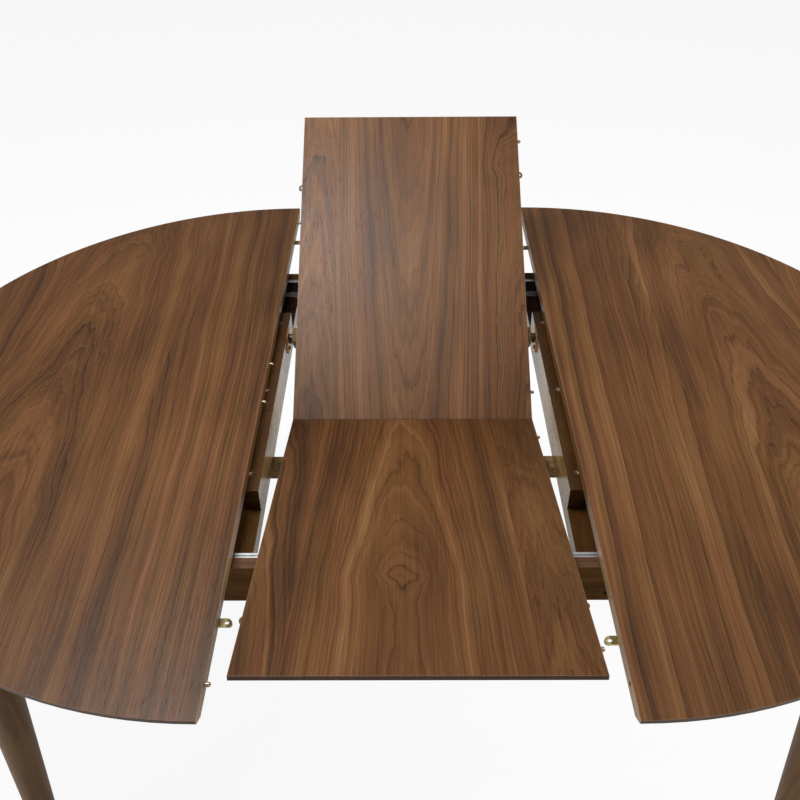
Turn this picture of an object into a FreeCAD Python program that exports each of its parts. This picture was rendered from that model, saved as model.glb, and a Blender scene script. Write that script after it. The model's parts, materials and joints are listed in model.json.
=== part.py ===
import FreeCAD, Part
import math
import os

import Sketcher

# Round dining table with a butterfly leaf. The two half tops stand apart on their own legs,
# and the leaf is half unfolded in the gap between them.
# Millimetres and degrees. X is the way the halves slide, -Y is the front, Z is up.
# The origin is on the floor under the middle of the table.

SIZES = {
    # Table top
    "table_height": 750,
    "top_diameter": 1200,
    "top_thickness": 18,
    "rim_edge": 6,
    "rim_bevel": 16,
    # Leaf, as it stands half unfolded
    "leaf_width": 402,
    "leaf_slack": 36,
    "leaf_side_clearance": 20,
    "leaf_joint_gap": 0.5,
    "fold_axis_lift": 0.25,
    "back_tilt": 32.84,
    "rest_gap": 0.5,
    # Pivot bar under the back panel
    "pivot_setback": 161.5,
    "pivot_depth": 35,
    "pivot_bar_width": 27,
    "pivot_bar_below": 13,
    "pivot_bar_overhang": 9,
    "bar_screw_inset": 51,
    "bar_screw_inner": 50,
    "pivot_pin_radius": 4,
    "pivot_pin_seat": 15,
    "pivot_running_fit": 0.05,
    "pivot_end_play": 0.2,
    "pivot_spacer_wall": 4,
    "pivot_bracket_plate": 3,
    "pivot_bracket_width": 30,
    "pivot_bracket_above": 14,
    "pivot_bracket_below": 22,
    "pivot_bracket_screw_drop": 14,
    "pivot_bracket_screw_pitch": 18,
    # Concealed hinges between the two leaf panels
    "hinge_pitch": 130,
    "barrel_radius": 7,
    "barrel_length": 16,
    "hinge_slot_width": 4,
    "hinge_slot_depth": 10.5,
    "link_radius": 9,
    "link_thickness": 3,
    "link_cover": 3.3,
    # Alignment pins and their sockets in the table edges
    "pin_radius": 3,
    "pin_reach": 7,
    "pin_seat": 16,
    "pin_inset": 50,
    "socket_clearance": 0.3,
    "socket_spare": 2.5,
    # Latch plates under the edges
    "latch_width": 12,
    "latch_plate": 2.5,
    "latch_seat": 30,
    "latch_step": 4,
    "latch_drop": 1,
    "latch_hook": 6.5,
    "latch_hook_fall": 2.5,
    "latch_hole_radius": 2.8,
    "latch_hole_back": 6.5,
    "latch_tip_radius": 5.9,
    "latch_screw_first": 10,
    "latch_screw_pitch": 12,
    "tongue_reach": 15,
    "keeper_reach": 9,
    "latch_inset_near": 141,
    "latch_inset_far": 115,
    # Fasteners
    "screw_radius": 2,
    "screw_head_radius": 3.6,
    "screw_head_height": 2.2,
    "screw_fit": 0.05,
    "screw_bite": 11,
    "counterbore_radius": 4.75,
    "counterbore_depth": 12,
    # Aprons of the centre carriage
    "apron_thickness": 18,
    "apron_height": 66,
    "apron_drop": 26,
    "apron_leg_gap": 6,
    "apron_bore_depth": 6,
    # Telescopic slides
    "slide_drop": 28,
    "channel_height": 35,
    "channel_width": 10,
    "channel_wall": 1.5,
    "channel_screw_inset": 60,
    "rail_start": 10,
    "rail_leg_gap": 16,
    "rail_wall": 1.5,
    "rail_proud": 2,
    "rail_back_gap": 1,
    "ball_space": 3,
    "ball_radius": 1.2,
    "ball_pitch": 13,
    "ball_fit": 0.1,
    "cage_start": 3,
    "cage_length": 64,
    "cage_width": 6,
    "cage_plate": 0.6,
    # Brackets from the slide rails up to the half tops
    "bracket_plate": 2,
    "bracket_drop": 36,
    "bracket_flange": 28,
    "bracket_width": 40,
    "bracket_first": 60,
    "bracket_end_inset": 30,
    "bracket_screw_in": 18,
    "bracket_screw_pitch": 24,
    # Boards and battens beside the leaf
    "board_width": 70,
    "board_thickness": 26,
    "board_screw_inset": 34,
    "board_screw_pitch": 24,
    "batten_width": 22,
    "batten_length": 460,
    "batten_drop": 25,
    "batten_screw_inset": 35,
    # Rest bar that carries the folded leaf
    "rest_bar_width": 27,
    "rest_bar_height": 22,
    "rest_bar_lap": 50,
    "rest_bar_screw_inset": 14,
    "rest_bar_screw_edge": 7,
    "felt_width": 13,
    "felt_thickness": 1.5,
    "felt_end_inset": 8,
    # Legs, which travel with the half tops
    "leg_rim_inset": 89.5,
    "leg_splay": 43,
    "leg_top_radius": 35,
    "leg_foot_radius": 19.5,
    "end_apron_thickness": 22,
    "end_apron_height": 77,
    "tenon_stop": 18,
    "tenon_fit": 0.1,
    "leg_block_gap": 0.3,
    "leg_block_depth": 27,
    "leg_block_width": 40,
    "leg_block_height": 29,
    "leg_block_drop": 48,
    "leg_bolt_radius": 4,
    "leg_bolt_bite": 10,
    "leg_bolt_head_radius": 7,
    "leg_bolt_head_height": 5,
    "glide_radius": 14,
    "glide_height": 5,
    "glide_stem_radius": 3,
    "glide_stem_length": 15,
}

doc = FreeCAD.newDocument("butterfly_leaf_table")
sheet = doc.addObject("Spreadsheet::Sheet", "Sizes")
for row, (alias, number) in enumerate(SIZES.items(), start=1):
    sheet.set(f"A{row}", alias.replace("_", " "))
    sheet.set(f"B{row}", str(number))
    sheet.setAlias(f"B{row}", alias)
doc.recompute()

TINY = 1e-9
UP = FreeCAD.Vector(0, 0, 1)
AXES = {
    "+X": FreeCAD.Vector(1, 0, 0),
    "-X": FreeCAD.Vector(-1, 0, 0),
    "+Y": FreeCAD.Vector(0, 1, 0),
    "-Y": FreeCAD.Vector(0, -1, 0),
    "+Z": FreeCAD.Vector(0, 0, 1),
    "-Z": FreeCAD.Vector(0, 0, -1),
}


class Size:
    """A number together with the sheet formula that gives it."""

    def __init__(self, value, formula):
        self.value = value
        self.formula = formula

    def __add__(self, other):
        other = as_size(other)
        return Size(self.value + other.value, f"({self.formula} + {other.formula})")

    def __sub__(self, other):
        other = as_size(other)
        return Size(self.value - other.value, f"({self.formula} - {other.formula})")

    def __mul__(self, other):
        other = as_size(other)
        return Size(self.value * other.value, f"({self.formula} * {other.formula})")

    def __truediv__(self, other):
        other = as_size(other)
        return Size(self.value / other.value, f"({self.formula} / {other.formula})")

    def __neg__(self):
        return Size(-self.value, f"(-1 * {self.formula})")

    def __radd__(self, other):
        return as_size(other) + self

    def __rsub__(self, other):
        return as_size(other) - self

    def __rmul__(self, other):
        return as_size(other) * self


def as_size(number):
    if isinstance(number, Size):
        return number
    return Size(float(number), repr(float(number)))


def size(alias):
    return Size(float(sheet.get(alias)), f"Sizes.{alias}")


def bind(thing, prop, amount):
    """Hold a property of a thing to a size of the sheet."""
    thing.setExpression(prop, as_size(amount).formula)


def put(thing, x, y, z, rotation=None):
    """Place a thing, with its position held to the sheet."""
    spot = [as_size(x), as_size(y), as_size(z)]
    base = FreeCAD.Vector(*[part.value for part in spot])
    thing.Placement = FreeCAD.Placement(base, rotation or FreeCAD.Rotation())
    for axis, part in zip("xyz", spot):
        thing.setExpression(f"Placement.Base.{axis}", part.formula)


def sketch_on(body, name, plane, level=0):
    """An empty sketch on one of a body's own planes, raised to a level along the plane's normal."""
    sketch = body.newObject("Sketcher::SketchObject", name)
    origin_plane = [part for part in body.Origin.OriginFeatures if part.Role == plane][0]
    sketch.AttachmentSupport = [(origin_plane, "")]
    sketch.MapMode = "FlatFace"
    level = as_size(level)
    sketch.AttachmentOffset = FreeCAD.Placement(UP * level.value, FreeCAD.Rotation())
    sketch.setExpression("AttachmentOffset.Base.z", level.formula)
    return sketch


def hold_point(sketch, shape, point, spot):
    """Hold a point of a sketch shape to its two coordinates."""
    for kind, axis, amount in zip(("DistanceX", "DistanceY"), (-2, -1), spot):
        amount = as_size(amount)
        if abs(amount.value) < TINY:
            sketch.addConstraint(Sketcher.Constraint("PointOnObject", shape, point, axis))
            continue
        index = sketch.addConstraint(Sketcher.Constraint(kind, -1, 1, shape, point, amount.value))
        sketch.setExpression(f"Constraints[{index}]", amount.formula)


def draw_outline(sketch, spots):
    """A closed loop of straight lines through the spots."""
    corners = [FreeCAD.Vector(as_size(x).value, as_size(y).value, 0) for x, y in spots]
    count = len(corners)
    for index in range(count):
        sketch.addGeometry(Part.LineSegment(corners[index], corners[(index + 1) % count]), False)
    for index in range(count):
        sketch.addConstraint(Sketcher.Constraint("Coincident", index, 2, (index + 1) % count, 1))
    for index, spot in enumerate(spots):
        hold_point(sketch, index, 1, spot)


def draw_circle(sketch, spot, radius):
    centre = FreeCAD.Vector(as_size(spot[0]).value, as_size(spot[1]).value, 0)
    radius = as_size(radius)
    shape = sketch.addGeometry(Part.Circle(centre, UP, radius.value), False)
    index = sketch.addConstraint(Sketcher.Constraint("Radius", shape, radius.value))
    sketch.setExpression(f"Constraints[{index}]", radius.formula)
    hold_point(sketch, shape, 3, spot)


def profile_body(label, plane, spots, length, level=0, symmetric=False):
    """A straight bar: an outline on a plane, padded along the plane's normal."""
    body = doc.addObject("PartDesign::Body", label)
    sketch = sketch_on(body, f"{label}_outline", plane, level)
    draw_outline(sketch, spots)
    pad = body.newObject("PartDesign::Pad", f"{label}_pad")
    pad.Profile = sketch
    bind(pad, "Length", length)
    if symmetric:
        pad.SideType = "Symmetric"
    doc.recompute()
    return body


def rectangle(x, y):
    return [(x[0], y[0]), (x[1], y[0]), (x[1], y[1]), (x[0], y[1])]


def board(label, x, y, z):
    """A squared piece of wood or felt between the limits x, y and z."""
    return profile_body(label, "XY_Plane", rectangle(x, y), z[1] - z[0], level=z[0])


def pocket(body, name, sketch, depth, with_normal):
    """Cut a sketch into a body, along the sketch's normal or against it."""
    before = body.Shape.Volume
    cut = body.newObject("PartDesign::Pocket", name)
    cut.Profile = sketch
    bind(cut, "Length", depth)
    cut.Reversed = with_normal
    doc.recompute()
    if body.Shape.Volume >= before:
        raise RuntimeError(f"{name} removes nothing")


def drill(body, name, plane, level, spots, radius, depth, with_normal):
    """Round holes of one size, drilled from a level of a plane."""
    sketch = sketch_on(body, f"{name}_plan", plane, level)
    for spot in spots:
        draw_circle(sketch, spot, radius)
    pocket(body, name, sketch, depth, with_normal)


def block(name, x, y, z):
    """A plain box between the limits x, y and z."""
    box = doc.addObject("Part::Box", name)
    for prop, (low, high) in zip(("Length", "Width", "Height"), (x, y, z)):
        bind(box, prop, high - low)
    put(box, x[0], y[0], z[0])
    return box


def rod(name, at, direction, radius, length):
    """A cylinder that starts at a point and runs along a direction."""
    cylinder = doc.addObject("Part::Cylinder", name)
    bind(cylinder, "Radius", radius)
    bind(cylinder, "Height", length)
    put(cylinder, *at, rotation=FreeCAD.Rotation(UP, direction))
    return cylinder


def fuse(name, first, second):
    joined = doc.addObject("Part::Fuse", name)
    joined.Base = first
    joined.Tool = second
    return joined


def cut_away(label, base, tool):
    result = doc.addObject("Part::Cut", label)
    result.Base = base
    result.Tool = tool
    return result


def group(label, pieces):
    """Several separate solids under one name."""
    compound = doc.addObject("Part::Compound", label)
    compound.Links = pieces
    return compound


def headed(name, seat, direction, radius, length, head_radius, head_height):
    """A screw or bolt: its head bears on the seat, and its shank runs along the direction."""
    shank = rod(f"{name}_shank", seat, direction, radius, length)
    head = rod(f"{name}_head", seat, direction * -1, head_radius, head_height)
    return fuse(name, head, shank)


def screws(label, length, direction, seats):
    """A list of equal screws with their seats at the given points."""
    made = []
    head = (SCREW_HEAD_RADIUS, SCREW_HEAD_HEIGHT)
    for index, seat in enumerate(seats, start=1):
        made.append(headed(f"{label}_{index}", seat, direction, SCREW_RADIUS, length, *head))
    return made


# Sizes and levels that several pieces share

HEIGHT = size("table_height")
THICK = size("top_thickness")
RADIUS = size("top_diameter") / 2
UNDERSIDE = HEIGHT - THICK
MID_TOP = HEIGHT - THICK / 2

SCREW_RADIUS = size("screw_radius")
SCREW_HEAD_RADIUS = size("screw_head_radius")
SCREW_HEAD_HEIGHT = size("screw_head_height")
SCREW_HOLE = SCREW_RADIUS + size("screw_fit")
BITE = size("screw_bite")
BITE_HOLE = BITE + size("screw_fit")
COUNTERBORE = size("counterbore_radius")
COUNTERBORE_DEPTH = size("counterbore_depth")

LEAF_EDGE = size("leaf_width") / 2
OPEN_TRAVEL = LEAF_EDGE + size("leaf_slack")
RAIL_INNER = LEAF_EDGE + size("leaf_side_clearance")

LEG_AXIS = (RADIUS - size("leg_rim_inset")) / math.sqrt(2)
APRON_INNER = LEG_AXIS - size("apron_thickness") / 2
APRON_OUTER = LEG_AXIS + size("apron_thickness") / 2
APRON_REACH = LEG_AXIS - size("leg_top_radius") - size("apron_leg_gap")
APRON_TOP = HEIGHT - size("apron_drop")

CHANNEL_TOP = HEIGHT - size("slide_drop")
CHANNEL_BOTTOM = CHANNEL_TOP - size("channel_height")
CHANNEL_WALL = size("channel_wall")
RAIL_TOP = CHANNEL_TOP - CHANNEL_WALL - size("ball_space")
RAIL_BOTTOM = CHANNEL_BOTTOM + CHANNEL_WALL + size("ball_space")
RAIL_FACE = APRON_INNER - size("channel_width") - size("rail_proud")
RAIL_START = size("rail_start")
RAIL_END = LEG_AXIS - size("leg_top_radius") - size("rail_leg_gap")
SLIDE_MIDDLE = (CHANNEL_TOP + CHANNEL_BOTTOM) / 2

BOARD_TOP = CHANNEL_BOTTOM
BOARD_BOTTOM = BOARD_TOP - size("board_thickness")
BATTEN_TOP = HEIGHT - size("batten_drop")

PIVOT_Y = size("pivot_setback")
PIVOT_Z = HEIGHT - size("pivot_depth")
FOLD_Z = HEIGHT + size("fold_axis_lift")

PIN_SPOTS_Y = (size("pin_inset"), RADIUS - size("pin_inset"))
LATCH_NEAR = RADIUS - size("latch_inset_near")
LATCH_FAR = RADIUS - size("latch_inset_far")
LATCH_SCREW_SPOTS = (size("latch_screw_first"), size("latch_screw_first") + size("latch_screw_pitch"))

# Where the leaf stands: the back panel is turned about its pivot, which carries the fold line
# down, and the front panel is turned the other way about the fold line until its underside
# lies on the inner top edge of the front apron or its slide, a rest gap above it.

back_turn = FreeCAD.Rotation(AXES["+X"], size("back_tilt").value)
pivot_point = FreeCAD.Vector(0, PIVOT_Y.value, PIVOT_Z.value)
flat_fold_point = FreeCAD.Vector(0, 0, FOLD_Z.value)
fold_point = pivot_point + back_turn.multVec(flat_fold_point - pivot_point)
slide_lip = APRON_INNER - size("channel_width")
panel_depth = THICK.value + size("fold_axis_lift").value


def slope_over(edge_y, edge_z):
    """The slope that lays the front panel's underside over an edge at the front."""
    run = fold_point.y + edge_y.value
    rise = edge_z.value + size("rest_gap").value - fold_point.z
    return math.atan2(rise, run) + math.asin(panel_depth / math.hypot(run, rise))


front_slope = max(slope_over(APRON_INNER, APRON_TOP), slope_over(slide_lip, CHANNEL_TOP))
front_turn = FreeCAD.Rotation(AXES["+X"], -math.degrees(front_slope))
BACK_PLACE = FreeCAD.Placement(pivot_point - back_turn.multVec(pivot_point), back_turn)
FRONT_PLACE = FreeCAD.Placement(fold_point - front_turn.multVec(flat_fold_point), front_turn)

# The rest bar meets the underside of the front panel along the bar's back edge.

under_fold = fold_point.z - panel_depth / math.cos(front_slope)
panel_rise = BOARD_BOTTOM.value + size("rest_gap").value - under_fold
REST_BACK = as_size(fold_point.y - panel_rise / math.tan(front_slope))

nodes = []


def keep(piece, placement=None):
    """Count a finished sub-part, and give it the place where it stands."""
    if placement is not None:
        piece.Placement = placement
    nodes.append(piece)


def half_place(side):
    """Halves are modelled closed, on the +X side; the left one is turned round the table's middle."""
    shift = OPEN_TRAVEL.value if side == "right" else -OPEN_TRAVEL.value
    turn = 0 if side == "right" else 180
    return FreeCAD.Placement(FreeCAD.Vector(shift, 0, 0), FreeCAD.Rotation(UP, turn))


def edge_pin(name, edge_x, y, z, outward):
    """A round-nosed pin seated in an edge that faces the outward direction along X."""
    sign = AXES[outward].x
    start = edge_x - sign * size("pin_seat")
    nose = edge_x + sign * (size("pin_reach") - size("pin_radius"))
    length = size("pin_seat") + size("pin_reach") - size("pin_radius")
    shank = rod(f"{name}_shank", (start, y, z), AXES[outward], size("pin_radius"), length)
    ball = doc.addObject("Part::Sphere", f"{name}_nose")
    bind(ball, "Radius", size("pin_radius"))
    put(ball, nose, y, z)
    return fuse(name, shank, ball)


def drill_edge(body, name, edge_x, spots_y, outward, pinned):
    """Holes in an edge: seats that grip pins, or sockets that receive them."""
    grip = size("screw_fit") if pinned else size("socket_clearance")
    depth = size("pin_seat") if pinned else size("pin_reach") + size("socket_spare")
    spots = [(y, MID_TOP) for y in spots_y]
    drill(body, name, "YZ_Plane", edge_x, spots, size("pin_radius") + grip, depth, outward == "-X")


def latch_plate(name, reach, y, edge_x, sign):
    """A brass plate under an edge, with a stepped-down tip that hooks below the neighbouring edge.

    The edge faces along X with the given sign, and the plate is centred on y.
    """
    seat = size("latch_seat")
    step = size("latch_step")
    hook = size("latch_hook")
    plate = size("latch_plate")
    low = UNDERSIDE - size("latch_drop")
    tip = low - size("latch_hook_fall")
    half_width = size("latch_width") / 2
    profile = [
        (-seat, UNDERSIDE),
        (-seat, UNDERSIDE - plate),
        (-step, UNDERSIDE - plate),
        (as_size(0), low - plate),
        (reach - hook, low - plate),
        (reach, tip - plate),
        (reach, tip),
        (reach - hook, low),
        (as_size(0), low),
        (-step, UNDERSIDE),
    ]
    body = profile_body(name, "XZ_Plane", profile, size("latch_width"), symmetric=True)
    hole_spot = [(reach - size("latch_hole_back"), 0)]
    drop = plate + size("latch_drop") + size("latch_hook_fall") + plate
    drill(body, f"{name}_eye", "XY_Plane", UNDERSIDE, hole_spot, size("latch_hole_radius"), drop, False)
    screw_spots = [(-x, 0) for x in LATCH_SCREW_SPOTS]
    drill(body, f"{name}_screw_holes", "XY_Plane", UNDERSIDE, screw_spots, SCREW_HOLE, plate, False)
    corners = []
    for index, edge in enumerate(body.Shape.Edges, start=1):
        ends = edge.Vertexes
        upright = len(ends) == 2 and abs(ends[0].Z - ends[1].Z) > plate.value / 2
        at_tip = all(abs(end.X - reach.value) < TINY for end in ends)
        at_side = all(abs(abs(end.Y) - half_width.value) < TINY for end in ends)
        if upright and at_tip and at_side:
            corners.append(f"Edge{index}")
    shaped = body.Tip
    rounding = body.newObject("PartDesign::Fillet", f"{name}_round_tip")
    rounding.Base = (shaped, corners)
    bind(rounding, "Radius", size("latch_tip_radius"))
    turn = FreeCAD.Rotation(UP, 0 if sign > 0 else 180)
    put(body, edge_x, y, 0, rotation=turn)
    return body


def latch_screw_seats(edge_x, y, sign):
    """Points under a latch plate where its screws bear."""
    return [(edge_x - sign * x, y, UNDERSIDE - size("latch_plate")) for x in LATCH_SCREW_SPOTS]


# Half tops, closed on the +X side: a half disc with a thin edge and a wide bevel under its rim

BRACKET_LAST = RAIL_END - size("bracket_end_inset") - size("bracket_width")
BRACKET_STARTS = (size("bracket_first"), BRACKET_LAST)
BRACKET_FLANGE_FACE = RAIL_FACE - size("bracket_flange")
BRACKET_SCREW_Y = RAIL_FACE - size("bracket_screw_in")
HALF_LATCHES = (LATCH_NEAR, -LATCH_FAR)


def bracket_screw_spots():
    spots = []
    for start in BRACKET_STARTS:
        middle = start + size("bracket_width") / 2
        for y in (BRACKET_SCREW_Y, -BRACKET_SCREW_Y):
            for x in (middle - size("bracket_screw_pitch") / 2, middle + size("bracket_screw_pitch") / 2):
                spots.append((x, y))
    return spots


def half_top(side):
    label = f"half_top_{side}"
    body = doc.addObject("PartDesign::Body", label)
    sketch = sketch_on(body, f"{label}_rim", "XZ_Plane")
    rim = [
        (0, UNDERSIDE),
        (RADIUS - size("rim_bevel"), UNDERSIDE),
        (RADIUS, HEIGHT - size("rim_edge")),
        (RADIUS, HEIGHT),
        (0, HEIGHT),
    ]
    draw_outline(sketch, rim)
    turned = body.newObject("PartDesign::Revolution", f"{label}_disc")
    turned.Profile = sketch
    turned.ReferenceAxis = (sketch, ["V_Axis"])
    turned.Angle = 180
    turned.Midplane = True
    doc.recompute()
    edge_spots = [sign * y for y in PIN_SPOTS_Y for sign in (1, -1)]
    drill_edge(body, f"{label}_edge_holes", as_size(0), edge_spots, "-X", pinned=side == "left")
    screw_spots = bracket_screw_spots()
    for y in HALF_LATCHES:
        screw_spots += [(x, y) for x in LATCH_SCREW_SPOTS]
    drill(body, f"{label}_screw_holes", "XY_Plane", UNDERSIDE, screw_spots, SCREW_HOLE, BITE_HOLE, True)
    keep(body, half_place(side))


def half_latches(side):
    plates = []
    seats = []
    for index, y in enumerate(HALF_LATCHES, start=1):
        plates.append(latch_plate(f"tongue_{side}_{index}", size("tongue_reach"), y, as_size(0), -1))
        seats += latch_screw_seats(as_size(0), y, -1)
    keep(group(f"latch_tongues_{side}", plates), half_place(side))
    length = size("latch_plate") + BITE
    made = screws(f"latch_screw_{side}", length, AXES["+Z"], seats)
    keep(group(f"latch_screws_{side}", made), half_place(side))


def alignment_pins():
    """Brass pins in the left half's edge; the right half has plain sockets for them."""
    pins = []
    for index, y in enumerate([sign * y for y in PIN_SPOTS_Y for sign in (1, -1)], start=1):
        pins.append(edge_pin(f"edge_pin_left_{index}", as_size(0), y, MID_TOP, "-X"))
    keep(group("alignment_pins_left", pins), half_place("left"))


def half_end_apron(side):
    x = (LEG_AXIS - size("end_apron_thickness") / 2, LEG_AXIS + size("end_apron_thickness") / 2)
    stop = LEG_AXIS - size("tenon_stop")
    z = (UNDERSIDE - size("end_apron_height"), UNDERSIDE)
    keep(board(f"end_apron_{side}", x, (-stop, stop), z), half_place(side))


BLOCK_TOP = UNDERSIDE - size("leg_block_drop")
BLOCK_BOTTOM = BLOCK_TOP - size("leg_block_height")
BOLT_Z = (BLOCK_TOP + BLOCK_BOTTOM) / 2
# How far down the leg the block's top lies, as a share of the leg, and the leg's surface there
BLOCK_SHARE = size("leg_block_drop") / (UNDERSIDE - size("glide_height"))
LEG_THINNING = (size("leg_top_radius") - size("leg_foot_radius")) * BLOCK_SHARE
LEG_SHIFT = size("leg_splay") * BLOCK_SHARE * math.sqrt(2)
BLOCK_NEAR = size("leg_top_radius") - LEG_THINNING - LEG_SHIFT + size("leg_block_gap")
BLOCK_FAR = BLOCK_NEAR + size("leg_block_depth")


def diagonal(toward, sideways, y_sign):
    """A point given from a leg's axis: toward the table's middle, and sideways from that line."""
    root = math.sqrt(2)
    x = LEG_AXIS - toward / root + sideways / root
    y = LEG_AXIS - toward / root - sideways / root
    return (x, y_sign * y)


def leg_bolt(name, y_sign, fit):
    """The bolt through a leg block into its leg, or with a fit the hole for it."""
    outward = FreeCAD.Vector(1, y_sign, 0)
    spot = diagonal(BLOCK_FAR, as_size(0), y_sign)
    seat = (spot[0], spot[1], BOLT_Z)
    length = BLOCK_FAR + size("leg_bolt_bite")
    if fit is not None:
        return rod(name, seat, outward, size("leg_bolt_radius") + fit, length + fit)
    head_radius = size("leg_bolt_head_radius")
    head_height = size("leg_bolt_head_height")
    return headed(name, seat, outward, size("leg_bolt_radius"), length, head_radius, head_height)


def leg(side, end, y_sign):
    """A round leg that tapers and splays to its foot, with a mortise for the end apron."""
    label = f"leg_{end}_{side}"
    body = doc.addObject("PartDesign::Body", f"{label}_turned")
    foot_axis = LEG_AXIS + size("leg_splay")
    foot = sketch_on(body, f"{label}_foot", "XY_Plane", size("glide_height"))
    draw_circle(foot, (foot_axis, y_sign * foot_axis), size("leg_foot_radius"))
    head = sketch_on(body, f"{label}_head", "XY_Plane", UNDERSIDE)
    draw_circle(head, (LEG_AXIS, y_sign * LEG_AXIS), size("leg_top_radius"))
    loft = body.newObject("PartDesign::AdditiveLoft", f"{label}_taper")
    loft.Profile = foot
    loft.Sections = [head]
    loft.Ruled = True
    doc.recompute()
    mortise = sketch_on(body, f"{label}_mortise_plan", "XY_Plane", UNDERSIDE)
    half_width = size("end_apron_thickness") / 2 + size("tenon_fit")
    stop = LEG_AXIS - size("tenon_stop") + size("tenon_fit")
    start = LEG_AXIS - size("leg_top_radius") * 2
    x = (LEG_AXIS - half_width, LEG_AXIS + half_width)
    draw_outline(mortise, rectangle(x, (y_sign * start, y_sign * stop)))
    pocket(body, f"{label}_mortise", mortise, size("end_apron_height") + size("tenon_fit"), False)
    stem_depth = size("glide_stem_length") + size("screw_fit")
    stem_hole = size("glide_stem_radius") + size("screw_fit")
    foot_spot = [(foot_axis, y_sign * foot_axis)]
    foot_level = size("glide_height")
    drill(body, f"{label}_stem_hole", "XY_Plane", foot_level, foot_spot, stem_hole, stem_depth, True)
    bolt_hole = leg_bolt(f"{label}_bolt_hole", y_sign, size("screw_fit"))
    keep(cut_away(label, body, bolt_hole), half_place(side))


def leg_fixings(side):
    """Diagonal blocks beside the legs, the bolts through them, and the glides under the feet."""
    blocks = []
    bolts = []
    glides = []
    foot_axis = LEG_AXIS + size("leg_splay")
    half_width = size("leg_block_width") / 2
    apron_face = LEG_AXIS - size("end_apron_thickness") / 2
    z = (BLOCK_BOTTOM, BLOCK_TOP)
    for end, y_sign in (("front", -1), ("back", 1)):
        name = f"leg_block_{end}_{side}"
        corners = [
            diagonal(BLOCK_NEAR, -half_width, y_sign),
            diagonal(BLOCK_NEAR, half_width, y_sign),
            diagonal(BLOCK_FAR, half_width, y_sign),
            diagonal(BLOCK_FAR, -half_width, y_sign),
        ]
        blank = profile_body(f"{name}_blank", "XY_Plane", corners, z[1] - z[0], level=z[0])
        behind = (apron_face, apron_face + size("leg_block_width"))
        waste = block(f"{name}_waste", behind, (-RADIUS, RADIUS), z)
        trimmed = cut_away(f"{name}_trimmed", blank, waste)
        bore = leg_bolt(f"{name}_bore", y_sign, size("screw_fit"))
        blocks.append(cut_away(name, trimmed, bore))
        bolts.append(leg_bolt(f"leg_bolt_{end}_{side}", y_sign, None))
        seat = (foot_axis, y_sign * foot_axis, size("glide_height"))
        stem_radius = size("glide_stem_radius")
        stem_length = size("glide_stem_length")
        glide_name = f"foot_glide_{end}_{side}"
        glide_radius = size("glide_radius")
        glides.append(
            headed(glide_name, seat, UP, stem_radius, stem_length, glide_radius, size("glide_height"))
        )
    keep(group(f"leg_blocks_{side}", blocks), half_place(side))
    keep(group(f"leg_bolts_{side}", bolts), half_place(side))
    keep(group(f"foot_glides_{side}", glides), half_place(side))


def slide_rails(side):
    """The inner members of the two telescopic slides, which travel with a half top."""
    wall = size("rail_wall")
    web = RAIL_FACE + wall
    tip = APRON_INNER - CHANNEL_WALL - size("rail_back_gap")
    for end, y_sign in (("front", -1), ("back", 1)):
        section = [
            (y_sign * RAIL_FACE, RAIL_TOP),
            (y_sign * tip, RAIL_TOP),
            (y_sign * tip, RAIL_TOP - wall),
            (y_sign * web, RAIL_TOP - wall),
            (y_sign * web, RAIL_BOTTOM + wall),
            (y_sign * tip, RAIL_BOTTOM + wall),
            (y_sign * tip, RAIL_BOTTOM),
            (y_sign * RAIL_FACE, RAIL_BOTTOM),
        ]
        # A half turn about Z swaps front and back, so each name says where the rail ends up.
        where = end if side == "right" else {"front": "back", "back": "front"}[end]
        label = f"slide_rail_{where}_{side}"
        body = profile_body(label, "YZ_Plane", section, RAIL_END - RAIL_START, level=RAIL_START)
        keep(body, half_place(side))


def slide_brackets(side):
    """Angle brackets that hang the slide rails under a half top."""
    plate = size("bracket_plate")
    foot = RAIL_FACE - plate
    brackets = []
    for end, y_sign in (("front", -1), ("back", 1)):
        section = [
            (y_sign * RAIL_FACE, UNDERSIDE),
            (y_sign * RAIL_FACE, UNDERSIDE - size("bracket_drop")),
            (y_sign * foot, UNDERSIDE - size("bracket_drop")),
            (y_sign * foot, UNDERSIDE - plate),
            (y_sign * BRACKET_FLANGE_FACE, UNDERSIDE - plate),
            (y_sign * BRACKET_FLANGE_FACE, UNDERSIDE),
        ]
        for index, start in enumerate(BRACKET_STARTS, start=1):
            name = f"slide_bracket_{end}_{side}_{index}"
            body = profile_body(name, "YZ_Plane", section, size("bracket_width"), level=start)
            middle = start + size("bracket_width") / 2
            shift = size("bracket_screw_pitch") / 2
            spots = [(middle - shift, y_sign * BRACKET_SCREW_Y), (middle + shift, y_sign * BRACKET_SCREW_Y)]
            drill(body, f"{name}_holes", "XY_Plane", UNDERSIDE, spots, SCREW_HOLE, plate, False)
            brackets.append(body)
    keep(group(f"slide_brackets_{side}", brackets), half_place(side))
    seats = [(x, y, UNDERSIDE - plate) for x, y in bracket_screw_spots()]
    made = screws(f"slide_bracket_screw_{side}", plate + BITE, AXES["+Z"], seats)
    keep(group(f"slide_bracket_screws_{side}", made), half_place(side))


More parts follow.
